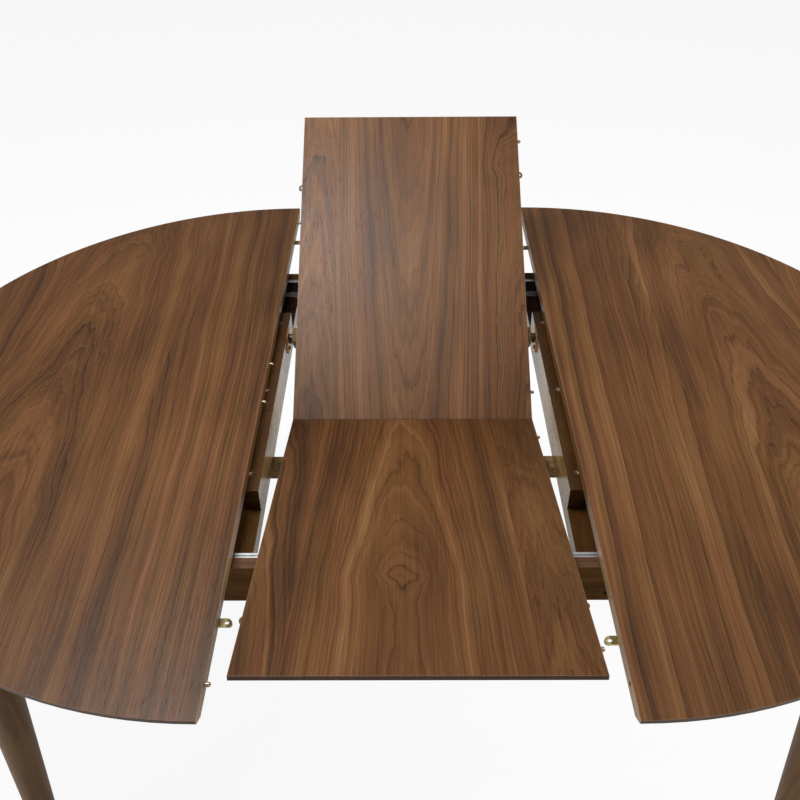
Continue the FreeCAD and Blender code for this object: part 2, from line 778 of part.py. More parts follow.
def ball_cages(side):
    """Ball cages between the channels and the rails; they follow at half the rail's speed."""
    sign = 1 if side == "right" else -1
    start = OPEN_TRAVEL + RAIL_START + size("cage_start")
    x = (start, start + size("cage_length"))
    balls_per_strip = int(size("cage_length").value // size("ball_pitch").value)
    first = start + (size("cage_length") - size("ball_pitch") * (balls_per_strip - 1)) / 2
    middle_y = APRON_INNER - size("channel_width") + size("cage_width") / 2 + size("rail_back_gap")
    gap_middles = (
        (CHANNEL_TOP - CHANNEL_WALL + RAIL_TOP) / 2,
        (CHANNEL_BOTTOM + CHANNEL_WALL + RAIL_BOTTOM) / 2,
    )
    half_plate = size("cage_plate") / 2
    half_width = size("cage_width") / 2
    pieces = []
    for end, y_sign in (("front", -1), ("back", 1)):
        for level, z in zip(("upper", "lower"), gap_middles):
            name = f"cage_{end}_{level}_{side}"
            y = y_sign * middle_y
            limits_x = x if sign > 0 else (-x[1], -x[0])
            limits_y = (y - half_width, y + half_width)
            strip = board(name, limits_x, limits_y, (z - half_plate, z + half_plate))
            steps = [size("ball_pitch") * index for index in range(balls_per_strip)]
            ball_spots = [(sign * (first + step), y) for step in steps]
            hole = size("ball_radius") + size("ball_fit")
            pockets = f"{name}_pockets"
            drill(strip, pockets, "XY_Plane", z + half_plate, ball_spots, hole, size("cage_plate"), False)
            pieces.append(strip)
            for index, spot in enumerate(ball_spots, start=1):
                ball = doc.addObject("Part::Sphere", f"{name}_ball_{index}")
                bind(ball, "Radius", size("ball_radius"))
                put(ball, spot[0], spot[1], z)
                pieces.append(ball)
    keep(group(f"ball_cages_{side}", pieces))


# Centre carriage

CHANNEL_SCREW_END = APRON_REACH - size("channel_screw_inset")
CHANNEL_SCREW_X = (-CHANNEL_SCREW_END, as_size(0), CHANNEL_SCREW_END)
BOARD_SCREW_X = (
    RAIL_INNER + size("board_screw_inset"),
    RAIL_INNER + size("board_screw_inset") + size("board_screw_pitch"),
)
BOARD_MIDDLE = (BOARD_TOP + BOARD_BOTTOM) / 2
BATTEN_SCREW_END = size("batten_length") / 2 - size("batten_screw_inset")
BATTEN_SCREW_Y = (-BATTEN_SCREW_END, as_size(0), BATTEN_SCREW_END)
BATTEN_SCREW_X = RAIL_INNER + size("batten_width") / 2 + size("screw_radius")
BRACKET_SCREW_SHIFT = size("pivot_bracket_screw_pitch") / 2
PIVOT_SCREW_Z = PIVOT_Z - size("pivot_bracket_screw_drop")
PIVOT_SCREW_Y = (PIVOT_Y - BRACKET_SCREW_SHIFT, PIVOT_Y + BRACKET_SCREW_SHIFT)
REST_BAR_Y = (REST_BACK - size("rest_bar_width"), REST_BACK)
REST_SCREW_Y = (
    REST_BAR_Y[0] + size("rest_bar_screw_edge"),
    REST_BAR_Y[1] - size("rest_bar_screw_edge"),
)
REST_SCREW_X = RAIL_INNER + size("rest_bar_screw_inset")


def aprons():
    for end, y_sign in (("front", -1), ("back", 1)):
        label = f"apron_{end}"
        y = (APRON_INNER, APRON_OUTER) if y_sign > 0 else (-APRON_OUTER, -APRON_INNER)
        body = board(label, (-APRON_REACH, APRON_REACH), y, (APRON_TOP - size("apron_height"), APRON_TOP))
        # The upright plane's normal points to the front, so its levels run from back to front.
        outside = -y_sign * APRON_OUTER
        inside = -y_sign * APRON_INNER
        inward = y_sign > 0
        board_spots = [(sign * x, BOARD_MIDDLE) for x in BOARD_SCREW_X for sign in (1, -1)]
        sunk = size("apron_bore_depth")
        drill(body, f"{label}_bores", "XZ_Plane", outside, board_spots, COUNTERBORE, sunk, inward)
        through = size("apron_thickness")
        drill(body, f"{label}_holes", "XZ_Plane", outside, board_spots, SCREW_HOLE, through, inward)
        channel_spots = [(x, SLIDE_MIDDLE) for x in CHANNEL_SCREW_X]
        drill(body, f"{label}_pilots", "XZ_Plane", inside, channel_spots, SCREW_HOLE, BITE_HOLE, not inward)
        keep(body)


def channels():
    """The outer members of the slides, screwed to the inner faces of the aprons."""
    lip = APRON_INNER - size("channel_width")
    web = APRON_INNER - CHANNEL_WALL
    for end, y_sign in (("front", -1), ("back", 1)):
        label = f"slide_channel_{end}"
        section = [
            (y_sign * APRON_INNER, CHANNEL_TOP),
            (y_sign * lip, CHANNEL_TOP),
            (y_sign * lip, CHANNEL_TOP - CHANNEL_WALL),
            (y_sign * web, CHANNEL_TOP - CHANNEL_WALL),
            (y_sign * web, CHANNEL_BOTTOM + CHANNEL_WALL),
            (y_sign * lip, CHANNEL_BOTTOM + CHANNEL_WALL),
            (y_sign * lip, CHANNEL_BOTTOM),
            (y_sign * APRON_INNER, CHANNEL_BOTTOM),
        ]
        body = profile_body(label, "YZ_Plane", section, APRON_REACH * 2, symmetric=True)
        spots = [(x, SLIDE_MIDDLE) for x in CHANNEL_SCREW_X]
        level = -y_sign * web
        drill(body, f"{label}_holes", "XZ_Plane", level, spots, SCREW_HOLE, CHANNEL_WALL, y_sign < 0)
        keep(body)


def rail_pieces():
    """On each side of the leaf, a board between the aprons with a batten on its inner edge."""
    for side, sign in (("left", -1), ("right", 1)):
        board_x = (RAIL_INNER, RAIL_INNER + size("board_width"))
        batten_x = (RAIL_INNER, RAIL_INNER + size("batten_width"))
        if sign < 0:
            board_x = (-board_x[1], -board_x[0])
            batten_x = (-batten_x[1], -batten_x[0])
        label = f"rail_board_{side}"
        body = board(label, board_x, (-APRON_INNER, APRON_INNER), (BOARD_BOTTOM, BOARD_TOP))
        batten_spots = [(sign * BATTEN_SCREW_X, y) for y in BATTEN_SCREW_Y]
        name = f"{label}_batten_pilots"
        drill(body, name, "XY_Plane", BOARD_TOP, batten_spots, SCREW_HOLE, BITE_HOLE, False)
        rest_spots = [(sign * REST_SCREW_X, y) for y in REST_SCREW_Y]
        name = f"{label}_rest_pilots"
        drill(body, name, "XY_Plane", BOARD_BOTTOM, rest_spots, SCREW_HOLE, BITE_HOLE, True)
        end_spots = [(sign * x, BOARD_MIDDLE) for x in BOARD_SCREW_X]
        for end, y_sign in (("front", -1), ("back", 1)):
            name = f"{label}_{end}_pilots"
            level = -y_sign * APRON_INNER
            drill(body, name, "XZ_Plane", level, end_spots, SCREW_HOLE, BITE_HOLE, y_sign > 0)
        keep(body)
        label = f"rail_batten_{side}"
        half_length = size("batten_length") / 2
        body = board(label, batten_x, (-half_length, half_length), (BOARD_TOP, BATTEN_TOP))
        sunk = COUNTERBORE_DEPTH
        drill(body, f"{label}_bores", "XY_Plane", BATTEN_TOP, batten_spots, COUNTERBORE, sunk, False)
        through = BATTEN_TOP - BOARD_TOP
        drill(body, f"{label}_holes", "XY_Plane", BATTEN_TOP, batten_spots, SCREW_HOLE, through, False)
        spots = [(y, PIVOT_SCREW_Z) for y in PIVOT_SCREW_Y]
        level = sign * RAIL_INNER
        drill(body, f"{label}_pilots", "YZ_Plane", level, spots, SCREW_HOLE, BITE_HOLE, sign > 0)
        keep(body)


def pivot_brackets():
    """Plates on the battens that hold the ends of the leaf's pivot bar."""
    half_width = size("pivot_bracket_width") / 2
    plate = size("pivot_bracket_plate")
    for side, sign in (("left", -1), ("right", 1)):
        label = f"pivot_bracket_{side}"
        y = (PIVOT_Y - half_width, PIVOT_Y + half_width)
        z = (PIVOT_Z - size("pivot_bracket_below"), PIVOT_Z + size("pivot_bracket_above"))
        low = RAIL_INNER - plate if sign > 0 else -RAIL_INNER
        body = profile_body(label, "YZ_Plane", rectangle(y, z), plate, level=low)
        pin_hole = size("pivot_pin_radius") + size("pivot_running_fit")
        face = low + plate
        drill(body, f"{label}_eye", "YZ_Plane", face, [(PIVOT_Y, PIVOT_Z)], pin_hole, plate, False)
        spots = [(y, PIVOT_SCREW_Z) for y in PIVOT_SCREW_Y]
        drill(body, f"{label}_holes", "YZ_Plane", face, spots, SCREW_HOLE, plate, False)
        keep(body)


def rest_bar():
    """A bar under the two boards that the leaf lies on, with a felt strip for the folded leaf."""
    reach = RAIL_INNER + size("rest_bar_lap")
    z = (BOARD_BOTTOM - size("rest_bar_height"), BOARD_BOTTOM)
    body = board("rest_bar", (-reach, reach), REST_BAR_Y, z)
    spots = [(sign * REST_SCREW_X, y) for y in REST_SCREW_Y for sign in (1, -1)]
    drill(body, "rest_bar_holes", "XY_Plane", z[1], spots, SCREW_HOLE, size("rest_bar_height"), False)
    keep(body)
    felt_reach = RAIL_INNER - size("felt_end_inset")
    felt_y = (REST_BAR_Y[0], REST_BAR_Y[0] + size("felt_width"))
    felt_z = (BOARD_BOTTOM, BOARD_BOTTOM + size("felt_thickness"))
    keep(board("rest_bar_felt", (-felt_reach, felt_reach), felt_y, felt_z))


def carriage_screws():
    batten_seats = []
    rest_seats = []
    pivot_screws = []
    frame_screws = []
    slide_screws = []
    plate = size("pivot_bracket_plate")
    for side, sign in (("left", -1), ("right", 1)):
        for y in BATTEN_SCREW_Y:
            batten_seats.append((sign * BATTEN_SCREW_X, y, BATTEN_TOP - COUNTERBORE_DEPTH))
        for y in REST_SCREW_Y:
            rest_seats.append((sign * REST_SCREW_X, y, BOARD_BOTTOM - size("rest_bar_height")))
        seats = [(sign * (RAIL_INNER - plate), y, PIVOT_SCREW_Z) for y in PIVOT_SCREW_Y]
        direction = AXES["+X"] if sign > 0 else AXES["-X"]
        pivot_screws += screws(f"pivot_bracket_screw_{side}", plate + BITE, direction, seats)
    batten_length = BATTEN_TOP - COUNTERBORE_DEPTH - BOARD_TOP + BITE
    keep(group("batten_screws", screws("batten_screw", batten_length, AXES["-Z"], batten_seats)))
    for end, y_sign in (("front", -1), ("back", 1)):
        inward = AXES["+Y"] if y_sign < 0 else AXES["-Y"]
        seat_y = y_sign * (APRON_OUTER - size("apron_bore_depth"))
        seats = [(sign * x, seat_y, BOARD_MIDDLE) for x in BOARD_SCREW_X for sign in (1, -1)]
        length = size("apron_thickness") - size("apron_bore_depth") + BITE
        frame_screws += screws(f"board_screw_{end}", length, inward, seats)
        web_y = y_sign * (APRON_INNER - CHANNEL_WALL)
        seats = [(x, web_y, SLIDE_MIDDLE) for x in CHANNEL_SCREW_X]
        slide_screws += screws(f"channel_screw_{end}", CHANNEL_WALL + BITE, inward * -1, seats)
    frame_screws += screws("rest_bar_screw", size("rest_bar_height") + BITE, AXES["+Z"], rest_seats)
    keep(group("frame_screws", frame_screws))
    keep(group("hardware_screws", slide_screws + pivot_screws))


# Leaf, modelled flat in the table's top and then set where it stands

HINGE_SPOTS_X = (-size("hinge_pitch"), as_size(0), size("hinge_pitch"))
JOINT_EDGE = size("leaf_joint_gap") / 2
BAR_HALF = size("pivot_bar_width") / 2
BAR_END = LEAF_EDGE + size("pivot_bar_overhang")
BAR_BOTTOM = PIVOT_Z - size("pivot_bar_below")
BAR_SCREW_END = LEAF_EDGE - size("bar_screw_inset")
BAR_SCREW_X = (-BAR_SCREW_END, -size("bar_screw_inner"), size("bar_screw_inner"), BAR_SCREW_END)
LEAF_LATCHES = {
    "front": ((LEAF_EDGE, LATCH_NEAR, 1), (-LEAF_EDGE, LATCH_FAR, -1)),
    "back": ((LEAF_EDGE, LATCH_FAR, 1), (-LEAF_EDGE, LATCH_NEAR, -1)),
}


def leaf_panel(end, y_sign, placement):
    """One panel of the leaf, with a bevelled outer end and bored for hinges, pins and screws."""
    label = f"{end}_leaf_panel"
    section = [
        (y_sign * JOINT_EDGE, UNDERSIDE),
        (y_sign * (RADIUS - size("rim_bevel")), UNDERSIDE),
        (y_sign * RADIUS, HEIGHT - size("rim_edge")),
        (y_sign * RADIUS, HEIGHT),
        (y_sign * JOINT_EDGE, HEIGHT),
    ]
    body = profile_body(label, "YZ_Plane", section, size("leaf_width"), symmetric=True)
    spots_y = [y_sign * y for y in PIN_SPOTS_Y]
    drill_edge(body, f"{label}_pin_seats", LEAF_EDGE, spots_y, "+X", pinned=True)
    drill_edge(body, f"{label}_sockets", -LEAF_EDGE, spots_y, "-X", pinned=False)
    hinge_spots = [(x, MID_TOP) for x in HINGE_SPOTS_X]
    bore = size("barrel_radius") + size("screw_fit")
    depth = size("barrel_length") + size("screw_fit")
    level = -y_sign * JOINT_EDGE
    drill(body, f"{label}_hinge_bores", "XZ_Plane", level, hinge_spots, bore, depth, y_sign < 0)
    screw_spots = []
    for edge_x, y, sign in LEAF_LATCHES[end]:
        screw_spots += [(edge_x - sign * x, y_sign * y) for x in LATCH_SCREW_SPOTS]
    if end == "back":
        screw_spots += [(x, PIVOT_Y) for x in BAR_SCREW_X]
    drill(body, f"{label}_screw_holes", "XY_Plane", UNDERSIDE, screw_spots, SCREW_HOLE, BITE_HOLE, True)
    keep(body, placement)


def leaf_hardware(end, y_sign, placement):
    pins = []
    for index, y in enumerate(PIN_SPOTS_Y, start=1):
        pins.append(edge_pin(f"leaf_pin_{end}_{index}", LEAF_EDGE, y_sign * y, MID_TOP, "+X"))
    keep(group(f"leaf_pins_{end}", pins), placement)
    plates = []
    seats = []
    for index, (edge_x, y, sign) in enumerate(LEAF_LATCHES[end], start=1):
        plates.append(latch_plate(f"keeper_{end}_{index}", size("keeper_reach"), y_sign * y, edge_x, sign))
        seats += latch_screw_seats(edge_x, y_sign * y, sign)
    keep(group(f"latch_keepers_{end}", plates), placement)
    length = size("latch_plate") + BITE
    made = screws(f"keeper_screw_{end}", length, AXES["+Z"], seats)
    keep(group(f"keeper_screws_{end}", made), placement)


def hinge_barrels(end, y_sign, placement):
    """Slotted barrels bored into a panel's joint edge."""
    barrels = []
    inward = AXES["+Y"] if y_sign > 0 else AXES["-Y"]
    half_slot = size("hinge_slot_width") / 2
    slot_y = (-size("hinge_slot_depth"), size("hinge_slot_depth"))
    slot_z = (UNDERSIDE, HEIGHT)
    for index, x in enumerate(HINGE_SPOTS_X, start=1):
        name = f"hinge_barrel_{end}_{index}"
        start = (x, y_sign * JOINT_EDGE, MID_TOP)
        solid = rod(f"{name}_turned", start, inward, size("barrel_radius"), size("barrel_length"))
        slot = block(f"{name}_slot", (x - half_slot, x + half_slot), slot_y, slot_z)
        barrels.append(cut_away(name, solid, slot))
    keep(group(f"hinge_barrels_{end}", barrels), placement)


def hinge_links():
    """Link plates that turn in the barrels' slots about the fold line, and stay below the surface."""
    links = []
    half = size("link_thickness") / 2
    reach = size("link_radius")
    for index, x in enumerate(HINGE_SPOTS_X, start=1):
        name = f"hinge_link_{index}"
        start = (x - half, as_size(0), FOLD_Z)
        disc = rod(f"{name}_disc", start, AXES["+X"], reach, size("link_thickness"))
        limits_z = (HEIGHT - size("link_cover"), FOLD_Z + reach)
        waste = block(f"{name}_waste", (x - reach, x + reach), (-reach, reach), limits_z)
        links.append(cut_away(name, disc, waste))
    keep(group("hinge_links", links), FRONT_PLACE)


def pivot_bar():
    """The bar under the back panel that the whole leaf turns on, with its pins and spacers."""
    y = (PIVOT_Y - BAR_HALF, PIVOT_Y + BAR_HALF)
    body = board("pivot_bar", (-BAR_END, BAR_END), y, (BAR_BOTTOM, UNDERSIDE))
    pin_radius = size("pivot_pin_radius")
    pin_seat = size("pivot_pin_seat")
    bore = pin_radius + size("screw_fit")
    for sign in (-1, 1):
        name = f"pivot_bar_bore_{'left' if sign < 0 else 'right'}"
        drill(body, name, "YZ_Plane", sign * BAR_END, [(PIVOT_Y, PIVOT_Z)], bore, pin_seat, sign < 0)
    spots = [(x, PIVOT_Y) for x in BAR_SCREW_X]
    height = UNDERSIDE - BAR_BOTTOM
    drill(body, "pivot_bar_holes", "XY_Plane", UNDERSIDE, spots, SCREW_HOLE, height, False)
    keep(body, BACK_PLACE)
    seats = [(x, PIVOT_Y, BAR_BOTTOM) for x in BAR_SCREW_X]
    made = screws("pivot_bar_screw", height + BITE, AXES["+Z"], seats)
    keep(group("pivot_bar_screws", made), BACK_PLACE)
    pins = []
    spacers = []
    play = size("pivot_end_play")
    bracket_face = RAIL_INNER - size("pivot_bracket_plate")
    for side, sign in (("left", -1), ("right", 1)):
        direction = AXES["+X"] if sign > 0 else AXES["-X"]
        start = (sign * (BAR_END - pin_seat), PIVOT_Y, PIVOT_Z)
        length = RAIL_INNER - play - BAR_END + pin_seat
        pins.append(rod(f"pivot_pin_{side}", start, direction, pin_radius, length))
        seat = (sign * BAR_END, PIVOT_Y, PIVOT_Z)
        long = bracket_face - play - BAR_END
        outer = pin_radius + size("pivot_spacer_wall")
        tube = rod(f"pivot_spacer_{side}_outer", seat, direction, outer, long)
        hole = rod(f"pivot_spacer_{side}_hole", seat, direction, bore, long)
        spacers.append(cut_away(f"pivot_spacer_{side}", tube, hole))
    keep(group("pivot_pins", pins), BACK_PLACE)
    keep(group("pivot_spacers", spacers), BACK_PLACE)


def build():
    aprons()
    channels()
    rail_pieces()
    pivot_brackets()
    rest_bar()
    carriage_screws()
    for side in ("left", "right"):
        half_top(side)
        half_latches(side)
        half_end_apron(side)
        # A half turn about Z swaps front and back on the left half.
        for end, y_sign in (("front", -1), ("back", 1)):
            leg(side, end, y_sign if side == "right" else -y_sign)
        leg_fixings(side)
        slide_rails(side)
        slide_brackets(side)
        ball_cages(side)
    alignment_pins()
    for end, y_sign, placement in (("back", 1, BACK_PLACE), ("front", -1, FRONT_PLACE)):
        leaf_panel(end, y_sign, placement)
        leaf_hardware(end, y_sign, placement)
        hinge_barrels(end, y_sign, placement)
    hinge_links()
    pivot_bar()
    doc.recompute()


def check():
    """Stop if any object failed to compute or any sub-part has no sound shape."""
    for item in doc.Objects:
        if "Invalid" in item.State or "Error" in item.State:
            raise RuntimeError(f"{item.Label} did not compute: {item.State}")
    for piece in nodes:
        if piece.Shape.isNull() or not piece.Shape.isValid():
            raise RuntimeError(f"{piece.Label} has no valid shape")


def write():
    os.makedirs("parts", exist_ok=True)
    for piece in nodes:
        piece.Shape.exportStep(f"parts/{piece.Label}.step")


build()
check()
write()
print(f"{len(nodes)} sub-parts, {sum(len(piece.Shape.Solids) for piece in nodes)} solids")
print(f"fold line at y {fold_point.y:.6f}, z {fold_point.z:.6f}")
print(f"front panel tilted {math.degrees(front_slope):.6f}")
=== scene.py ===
import json
import math

import bpy
from mathutils import Matrix, Vector


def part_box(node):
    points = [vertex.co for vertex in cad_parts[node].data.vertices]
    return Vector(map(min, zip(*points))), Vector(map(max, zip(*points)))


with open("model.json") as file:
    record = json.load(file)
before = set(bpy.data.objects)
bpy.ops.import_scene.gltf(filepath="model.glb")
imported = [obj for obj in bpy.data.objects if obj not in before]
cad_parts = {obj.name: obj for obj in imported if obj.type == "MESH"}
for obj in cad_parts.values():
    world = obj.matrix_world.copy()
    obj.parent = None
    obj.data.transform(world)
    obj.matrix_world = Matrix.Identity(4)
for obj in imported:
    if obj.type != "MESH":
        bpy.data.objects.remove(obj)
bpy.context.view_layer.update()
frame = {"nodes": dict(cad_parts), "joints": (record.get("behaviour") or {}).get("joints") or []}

# The table stands with +Z up and its front towards -Y. Lengths are in metres and angles in radians.

NODES = frame["nodes"]
JOINTS = {joint["name"]: joint for joint in frame["joints"]}
PIVOT = Vector(JOINTS["leaf_pivot"]["pos_m"])
FOLD = Vector(JOINTS["leaf_fold"]["pos_m"])
BACK_TILT = math.radians(-JOINTS["leaf_pivot"]["range_deg"][0])
FRONT_TILT = math.radians(-JOINTS["hinge_link_turn"]["range_deg"][0]) - BACK_TILT
TOP_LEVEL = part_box("half_top_left")[1].z
FOLD_LIFT = 0.00025  # the fold line's height over the top once the leaf is flat


# Helpers for node trees

MIX_SHARE, MIX_FIRST, MIX_SECOND = 0, 6, 7  # inputs of a colour mix node
MIX_RESULT = 2  # its colour output
NOISE_MIDDLE = 0.5
NOISE_ROUGHNESS = 0.55
BEVEL_SAMPLES = 4


def node(tree, kind, sockets=None, **settings):
    """A node with its settings and its inputs, which are sockets to link or plain values."""
    made = tree.nodes.new(kind)
    for name, value in settings.items():
        setattr(made, name, value)
    for name, value in (sockets or {}).items():
        if isinstance(value, bpy.types.NodeSocket):
            tree.links.new(value, made.inputs[name])
        else:
            made.inputs[name].default_value = value
    return made


def calc(tree, operation, *values, clamp=False):
    sockets = dict(enumerate(values))
    return node(tree, "ShaderNodeMath", sockets, operation=operation, use_clamp=clamp).outputs[0]


def mix_number(tree, share, first, second):
    sockets = {"Factor": share, "A": first, "B": second}
    return node(tree, "ShaderNodeMix", sockets).outputs["Result"]


def mix_colour(tree, share, first, second, blend="MIX"):
    sockets = {MIX_SHARE: share, MIX_FIRST: first, MIX_SECOND: second}
    settings = {"data_type": "RGBA", "blend_type": blend}
    return node(tree, "ShaderNodeMix", sockets, **settings).outputs[MIX_RESULT]


def noise(tree, vector, scale, detail, seed, roughness=NOISE_ROUGHNESS):
    sockets = {"Vector": vector, "W": seed, "Scale": scale, "Detail": detail, "Roughness": roughness}
    return node(tree, "ShaderNodeTexNoise", sockets, noise_dimensions="4D").outputs["Fac"]


def grain_noise(tree, point, scales, detail, seed, roughness=NOISE_ROUGHNESS):
    """Noise with a scale for each axis, so that it can be long in the grain's direction."""
    place = node(tree, "ShaderNodeMapping", {"Vector": point, "Scale": scales}).outputs["Vector"]
    return noise(tree, place, 1.0, detail, seed, roughness)


def line_noise(tree, along, detail):
    """Noise along one number."""
    sockets = {"W": along, "Scale": 1.0, "Detail": detail}
    return node(tree, "ShaderNodeTexNoise", sockets, noise_dimensions="1D").outputs["Fac"]


def centred(tree, layer):
    """A layer of noise, about zero."""
    return calc(tree, "SUBTRACT", layer, NOISE_MIDDLE)


def add_layer(tree, total, layer, weight, clamp=False):
    """A running value plus a weighted layer of noise, taken about its middle."""
    return calc(tree, "MULTIPLY_ADD", centred(tree, layer), weight, total, clamp=clamp)


def ramp(tree, factor, stops):
    made = node(tree, "ShaderNodeValToRGB", {"Fac": factor})
    elements = made.color_ramp.elements
    while len(elements) < len(stops):
        elements.new(0.5)
    for element, (position, colour) in zip(elements, stops):
        element.position = position
        element.color = (*colour, 1.0)
    return made.outputs["Color"]


def map_range(tree, value, low, high, to_low=0.0, to_high=1.0):
    sockets = {0: value, 1: low, 2: high, 3: to_low, 4: to_high}
    return node(tree, "ShaderNodeMapRange", sockets).outputs[0]


def axes_of(tree, vector):
    """The X, Y and Z of a vector, by name."""
    return node(tree, "ShaderNodeSeparateXYZ", {"Vector": vector}).outputs


def surface_point(tree):
    """A surface point in the piece's own frame, which moves with the piece."""
    return node(tree, "ShaderNodeTexCoord").outputs["Object"]


def surface_normal(tree):
    """The way the surface faces, in the piece's own frame."""
    return node(tree, "ShaderNodeTexCoord").outputs["Normal"]


FACING_LEAST = 0.6  # least part of the normal along the axis


def facing_mask(tree, facing, sides):
    """One where the surface faces one of the given ways along an axis, -1 or 1."""
    mask = 0.0
    for side in sides:
        toward = calc(tree, "GREATER_THAN", calc(tree, "MULTIPLY", facing, side), FACING_LEAST)
        mask = calc(tree, "MAXIMUM", mask, toward)
    return mask


def new_material(name):
    material = bpy.data.materials.new(name)
    material.use_nodes = True
    tree = material.node_tree
    tree.nodes.clear()
    return material, tree


def finish_material(tree, colour, roughness, height, relief, edge=None, shader=None):
    """A principled surface with its bump; an edge radius softens the look of sharp arrises."""
    sockets = {"Height": height, "Distance": relief}
    if edge:
        bevel = node(tree, "ShaderNodeBevel", {"Radius": edge}, samples=BEVEL_SAMPLES)
        sockets["Normal"] = bevel.outputs["Normal"]
    normal = node(tree, "ShaderNodeBump", sockets).outputs["Normal"]
    inputs = {"Base Color": colour, "Roughness": roughness, "Normal": normal, **(shader or {})}
    surface = node(tree, "ShaderNodeBsdfPrincipled", inputs)
    output = node(tree, "ShaderNodeOutputMaterial")
    tree.links.new(surface.outputs["BSDF"], output.inputs["Surface"])


ARRIS_RADIUS = 0.0018
ARRIS_FLAT = 0.99  # dot product of the rounded and flat normals where wear and painted highlight begin
ARRIS_SHARP = 0.80  # and where it is full


def arris_wear_and_highlight(tree):
    """One on sharp edges, where the lacquer and stain are rubbed thin and a painted highlight lies."""
    bevel = node(tree, "ShaderNodeBevel", {"Radius": ARRIS_RADIUS}, samples=BEVEL_SAMPLES)
    flat = node(tree, "ShaderNodeNewGeometry").outputs["True Normal"]
    sockets = {0: bevel.outputs["Normal"], 1: flat}
    along = node(tree, "ShaderNodeVectorMath", sockets, operation="DOT_PRODUCT").outputs["Value"]
    return map_range(tree, along, ARRIS_FLAT, ARRIS_SHARP)


FLOAT = "NodeSocketFloat"
VECTOR = "NodeSocketVector"
COLOUR = "NodeSocketColor"


def number_group(name, inputs, outputs):
    """An empty node group: returns the group, its input sockets by name, and its output node."""
    group = bpy.data.node_groups.new(name, "ShaderNodeTree")
    for label, kind in inputs.items():
        group.interface.new_socket(label, in_out="INPUT", socket_type=kind)
    for label, kind in outputs.items():
        group.interface.new_socket(label, in_out="OUTPUT", socket_type=kind)
    entry = group.nodes.new("NodeGroupInput")
    leave = group.nodes.new("NodeGroupOutput")
    return group, entry.outputs, leave


def use_group(tree, group, sockets):
    return node(tree, "ShaderNodeGroup", sockets, node_tree=group).outputs


# Walnut veneer: each panel is laid up from veneer leaves. A leaf is a flat cut through the log's
# growth rings, so its figure is the distance of each point from a slightly tilted pith.

# Waves of the cut: scales across and along the grain, detail, and a shift of the leaf's seed
RIPPLE = ((30.0, 5.0, 0.0), 3.0, 0.0)
SWING = ((5.0, 1.6, 0.0), 2.0, 0.2)
DIP = ((11.0, 4.0, 0.0), 2.0, 0.5)
FRAY = ((90.0, 8.0, 0.0), 2.0, 0.8)
SWING_REACH = 0.060
RIPPLE_SWING = 0.003
DIP_DEPTH = 0.026
RIPPLE_DEPTH = 0.008


def make_ring_group():
    """The distance from the pith over one veneer leaf; Bump lifts the cut where rings close to an eye."""
    numbers = ("Centre", "Slope", "Start", "Bump", "Wave", "Jag", "Seed")
    inputs = {"Point": VECTOR, **{name: FLOAT for name in numbers}}
    group, given, leave = number_group("veneer_rings", inputs, {"Ring": FLOAT})
    spot = axes_of(group, given["Point"])
    seed = given["Seed"]
    wave = given["Wave"]

    def swell(scales, detail, shift):
        """Noise about zero over the leaf, stretched along the grain."""
        layer_seed = calc(group, "ADD", seed, shift)
        return centred(group, grain_noise(group, given["Point"], scales, detail, layer_seed))

    ripple = swell(*RIPPLE)
    swing = calc(group, "MULTIPLY", swell(*SWING), SWING_REACH)
    swing = calc(group, "MULTIPLY_ADD", ripple, RIPPLE_SWING, swing)
    swing = calc(group, "MULTIPLY", swing, wave)
    across = calc(group, "ADD", calc(group, "SUBTRACT", spot["X"], given["Centre"]), swing)
    along = calc(group, "SUBTRACT", spot["Y"], given["Start"])
    depth = calc(group, "MULTIPLY_ADD", along, given["Slope"], given["Bump"])
    dip_depth = calc(group, "MULTIPLY", wave, DIP_DEPTH)
    depth = calc(group, "MULTIPLY_ADD", swell(*DIP), dip_depth, depth)
    depth = calc(group, "MULTIPLY_ADD", ripple, RIPPLE_DEPTH, depth)
    depth = calc(group, "MULTIPLY_ADD", swell(*FRAY), given["Jag"], depth)
    square = calc(group, "MULTIPLY_ADD", across, across, calc(group, "MULTIPLY", depth, depth))
    ring = calc(group, "ADD", calc(group, "SQRT", square), seed)
    group.links.new(ring, leave.inputs["Ring"])
    return group


EYE_BEND = 0.06
EYE_BEND_SCALE = 22.0
EYE_BEND_DETAIL = 2.0
EYE_BEND_SEEDS = {"X": 13.0, "Y": 17.0}
EYE_POINTEDNESS = 1.4
EYE_FALL = -1.2


def eye_bump(tree, point, spot, eyes):
    """The sum of peaks (or pits) at a leaf's eyes, each with its place, its reaches and its height.

    The reaches are to the left, right, front and back, and the outline is pointed towards each,
    a little bent.
    """
    total = 0.0
    for (x, y), (left, right, front, back), height in eyes:
        parts = []
        for axis, middle, low, high in (("X", x, left, right), ("Y", y, front, back)):
            bend = noise(tree, point, EYE_BEND_SCALE, EYE_BEND_DETAIL, EYE_BEND_SEEDS[axis])
            away = add_layer(tree, calc(tree, "SUBTRACT", spot[axis], middle), bend, EYE_BEND)
            above = calc(tree, "DIVIDE", away, high)
            below = calc(tree, "DIVIDE", away, -low)
            share = calc(tree, "MAXIMUM", above, below)
            parts.append(calc(tree, "POWER", share, EYE_POINTEDNESS))
        reach = calc(tree, "POWER", calc(tree, "ADD", *parts), 1.0 / EYE_POINTEDNESS)
        peak = calc(tree, "EXPONENT", calc(tree, "MULTIPLY", reach, EYE_FALL))
        total = calc(tree, "MULTIPLY_ADD", peak, height, total)
    return total


# Growth rings: how many in a metre, and how unevenly they are spaced
RINGS_IN_METRE = 190.0
UNEVEN_IN_METRE = 60.0
UNEVEN_DETAIL = 1.0
UNEVEN_RINGS = 2.4
# Darkening towards the end of each ring: powers of the season and their weights
LATE_RISES = ((4.0, 0.7), (18.0, 0.5))
LATE_LEAST = 0.15
LATE_TONE = -0.40
LATE_ROUGHNESS = -0.05
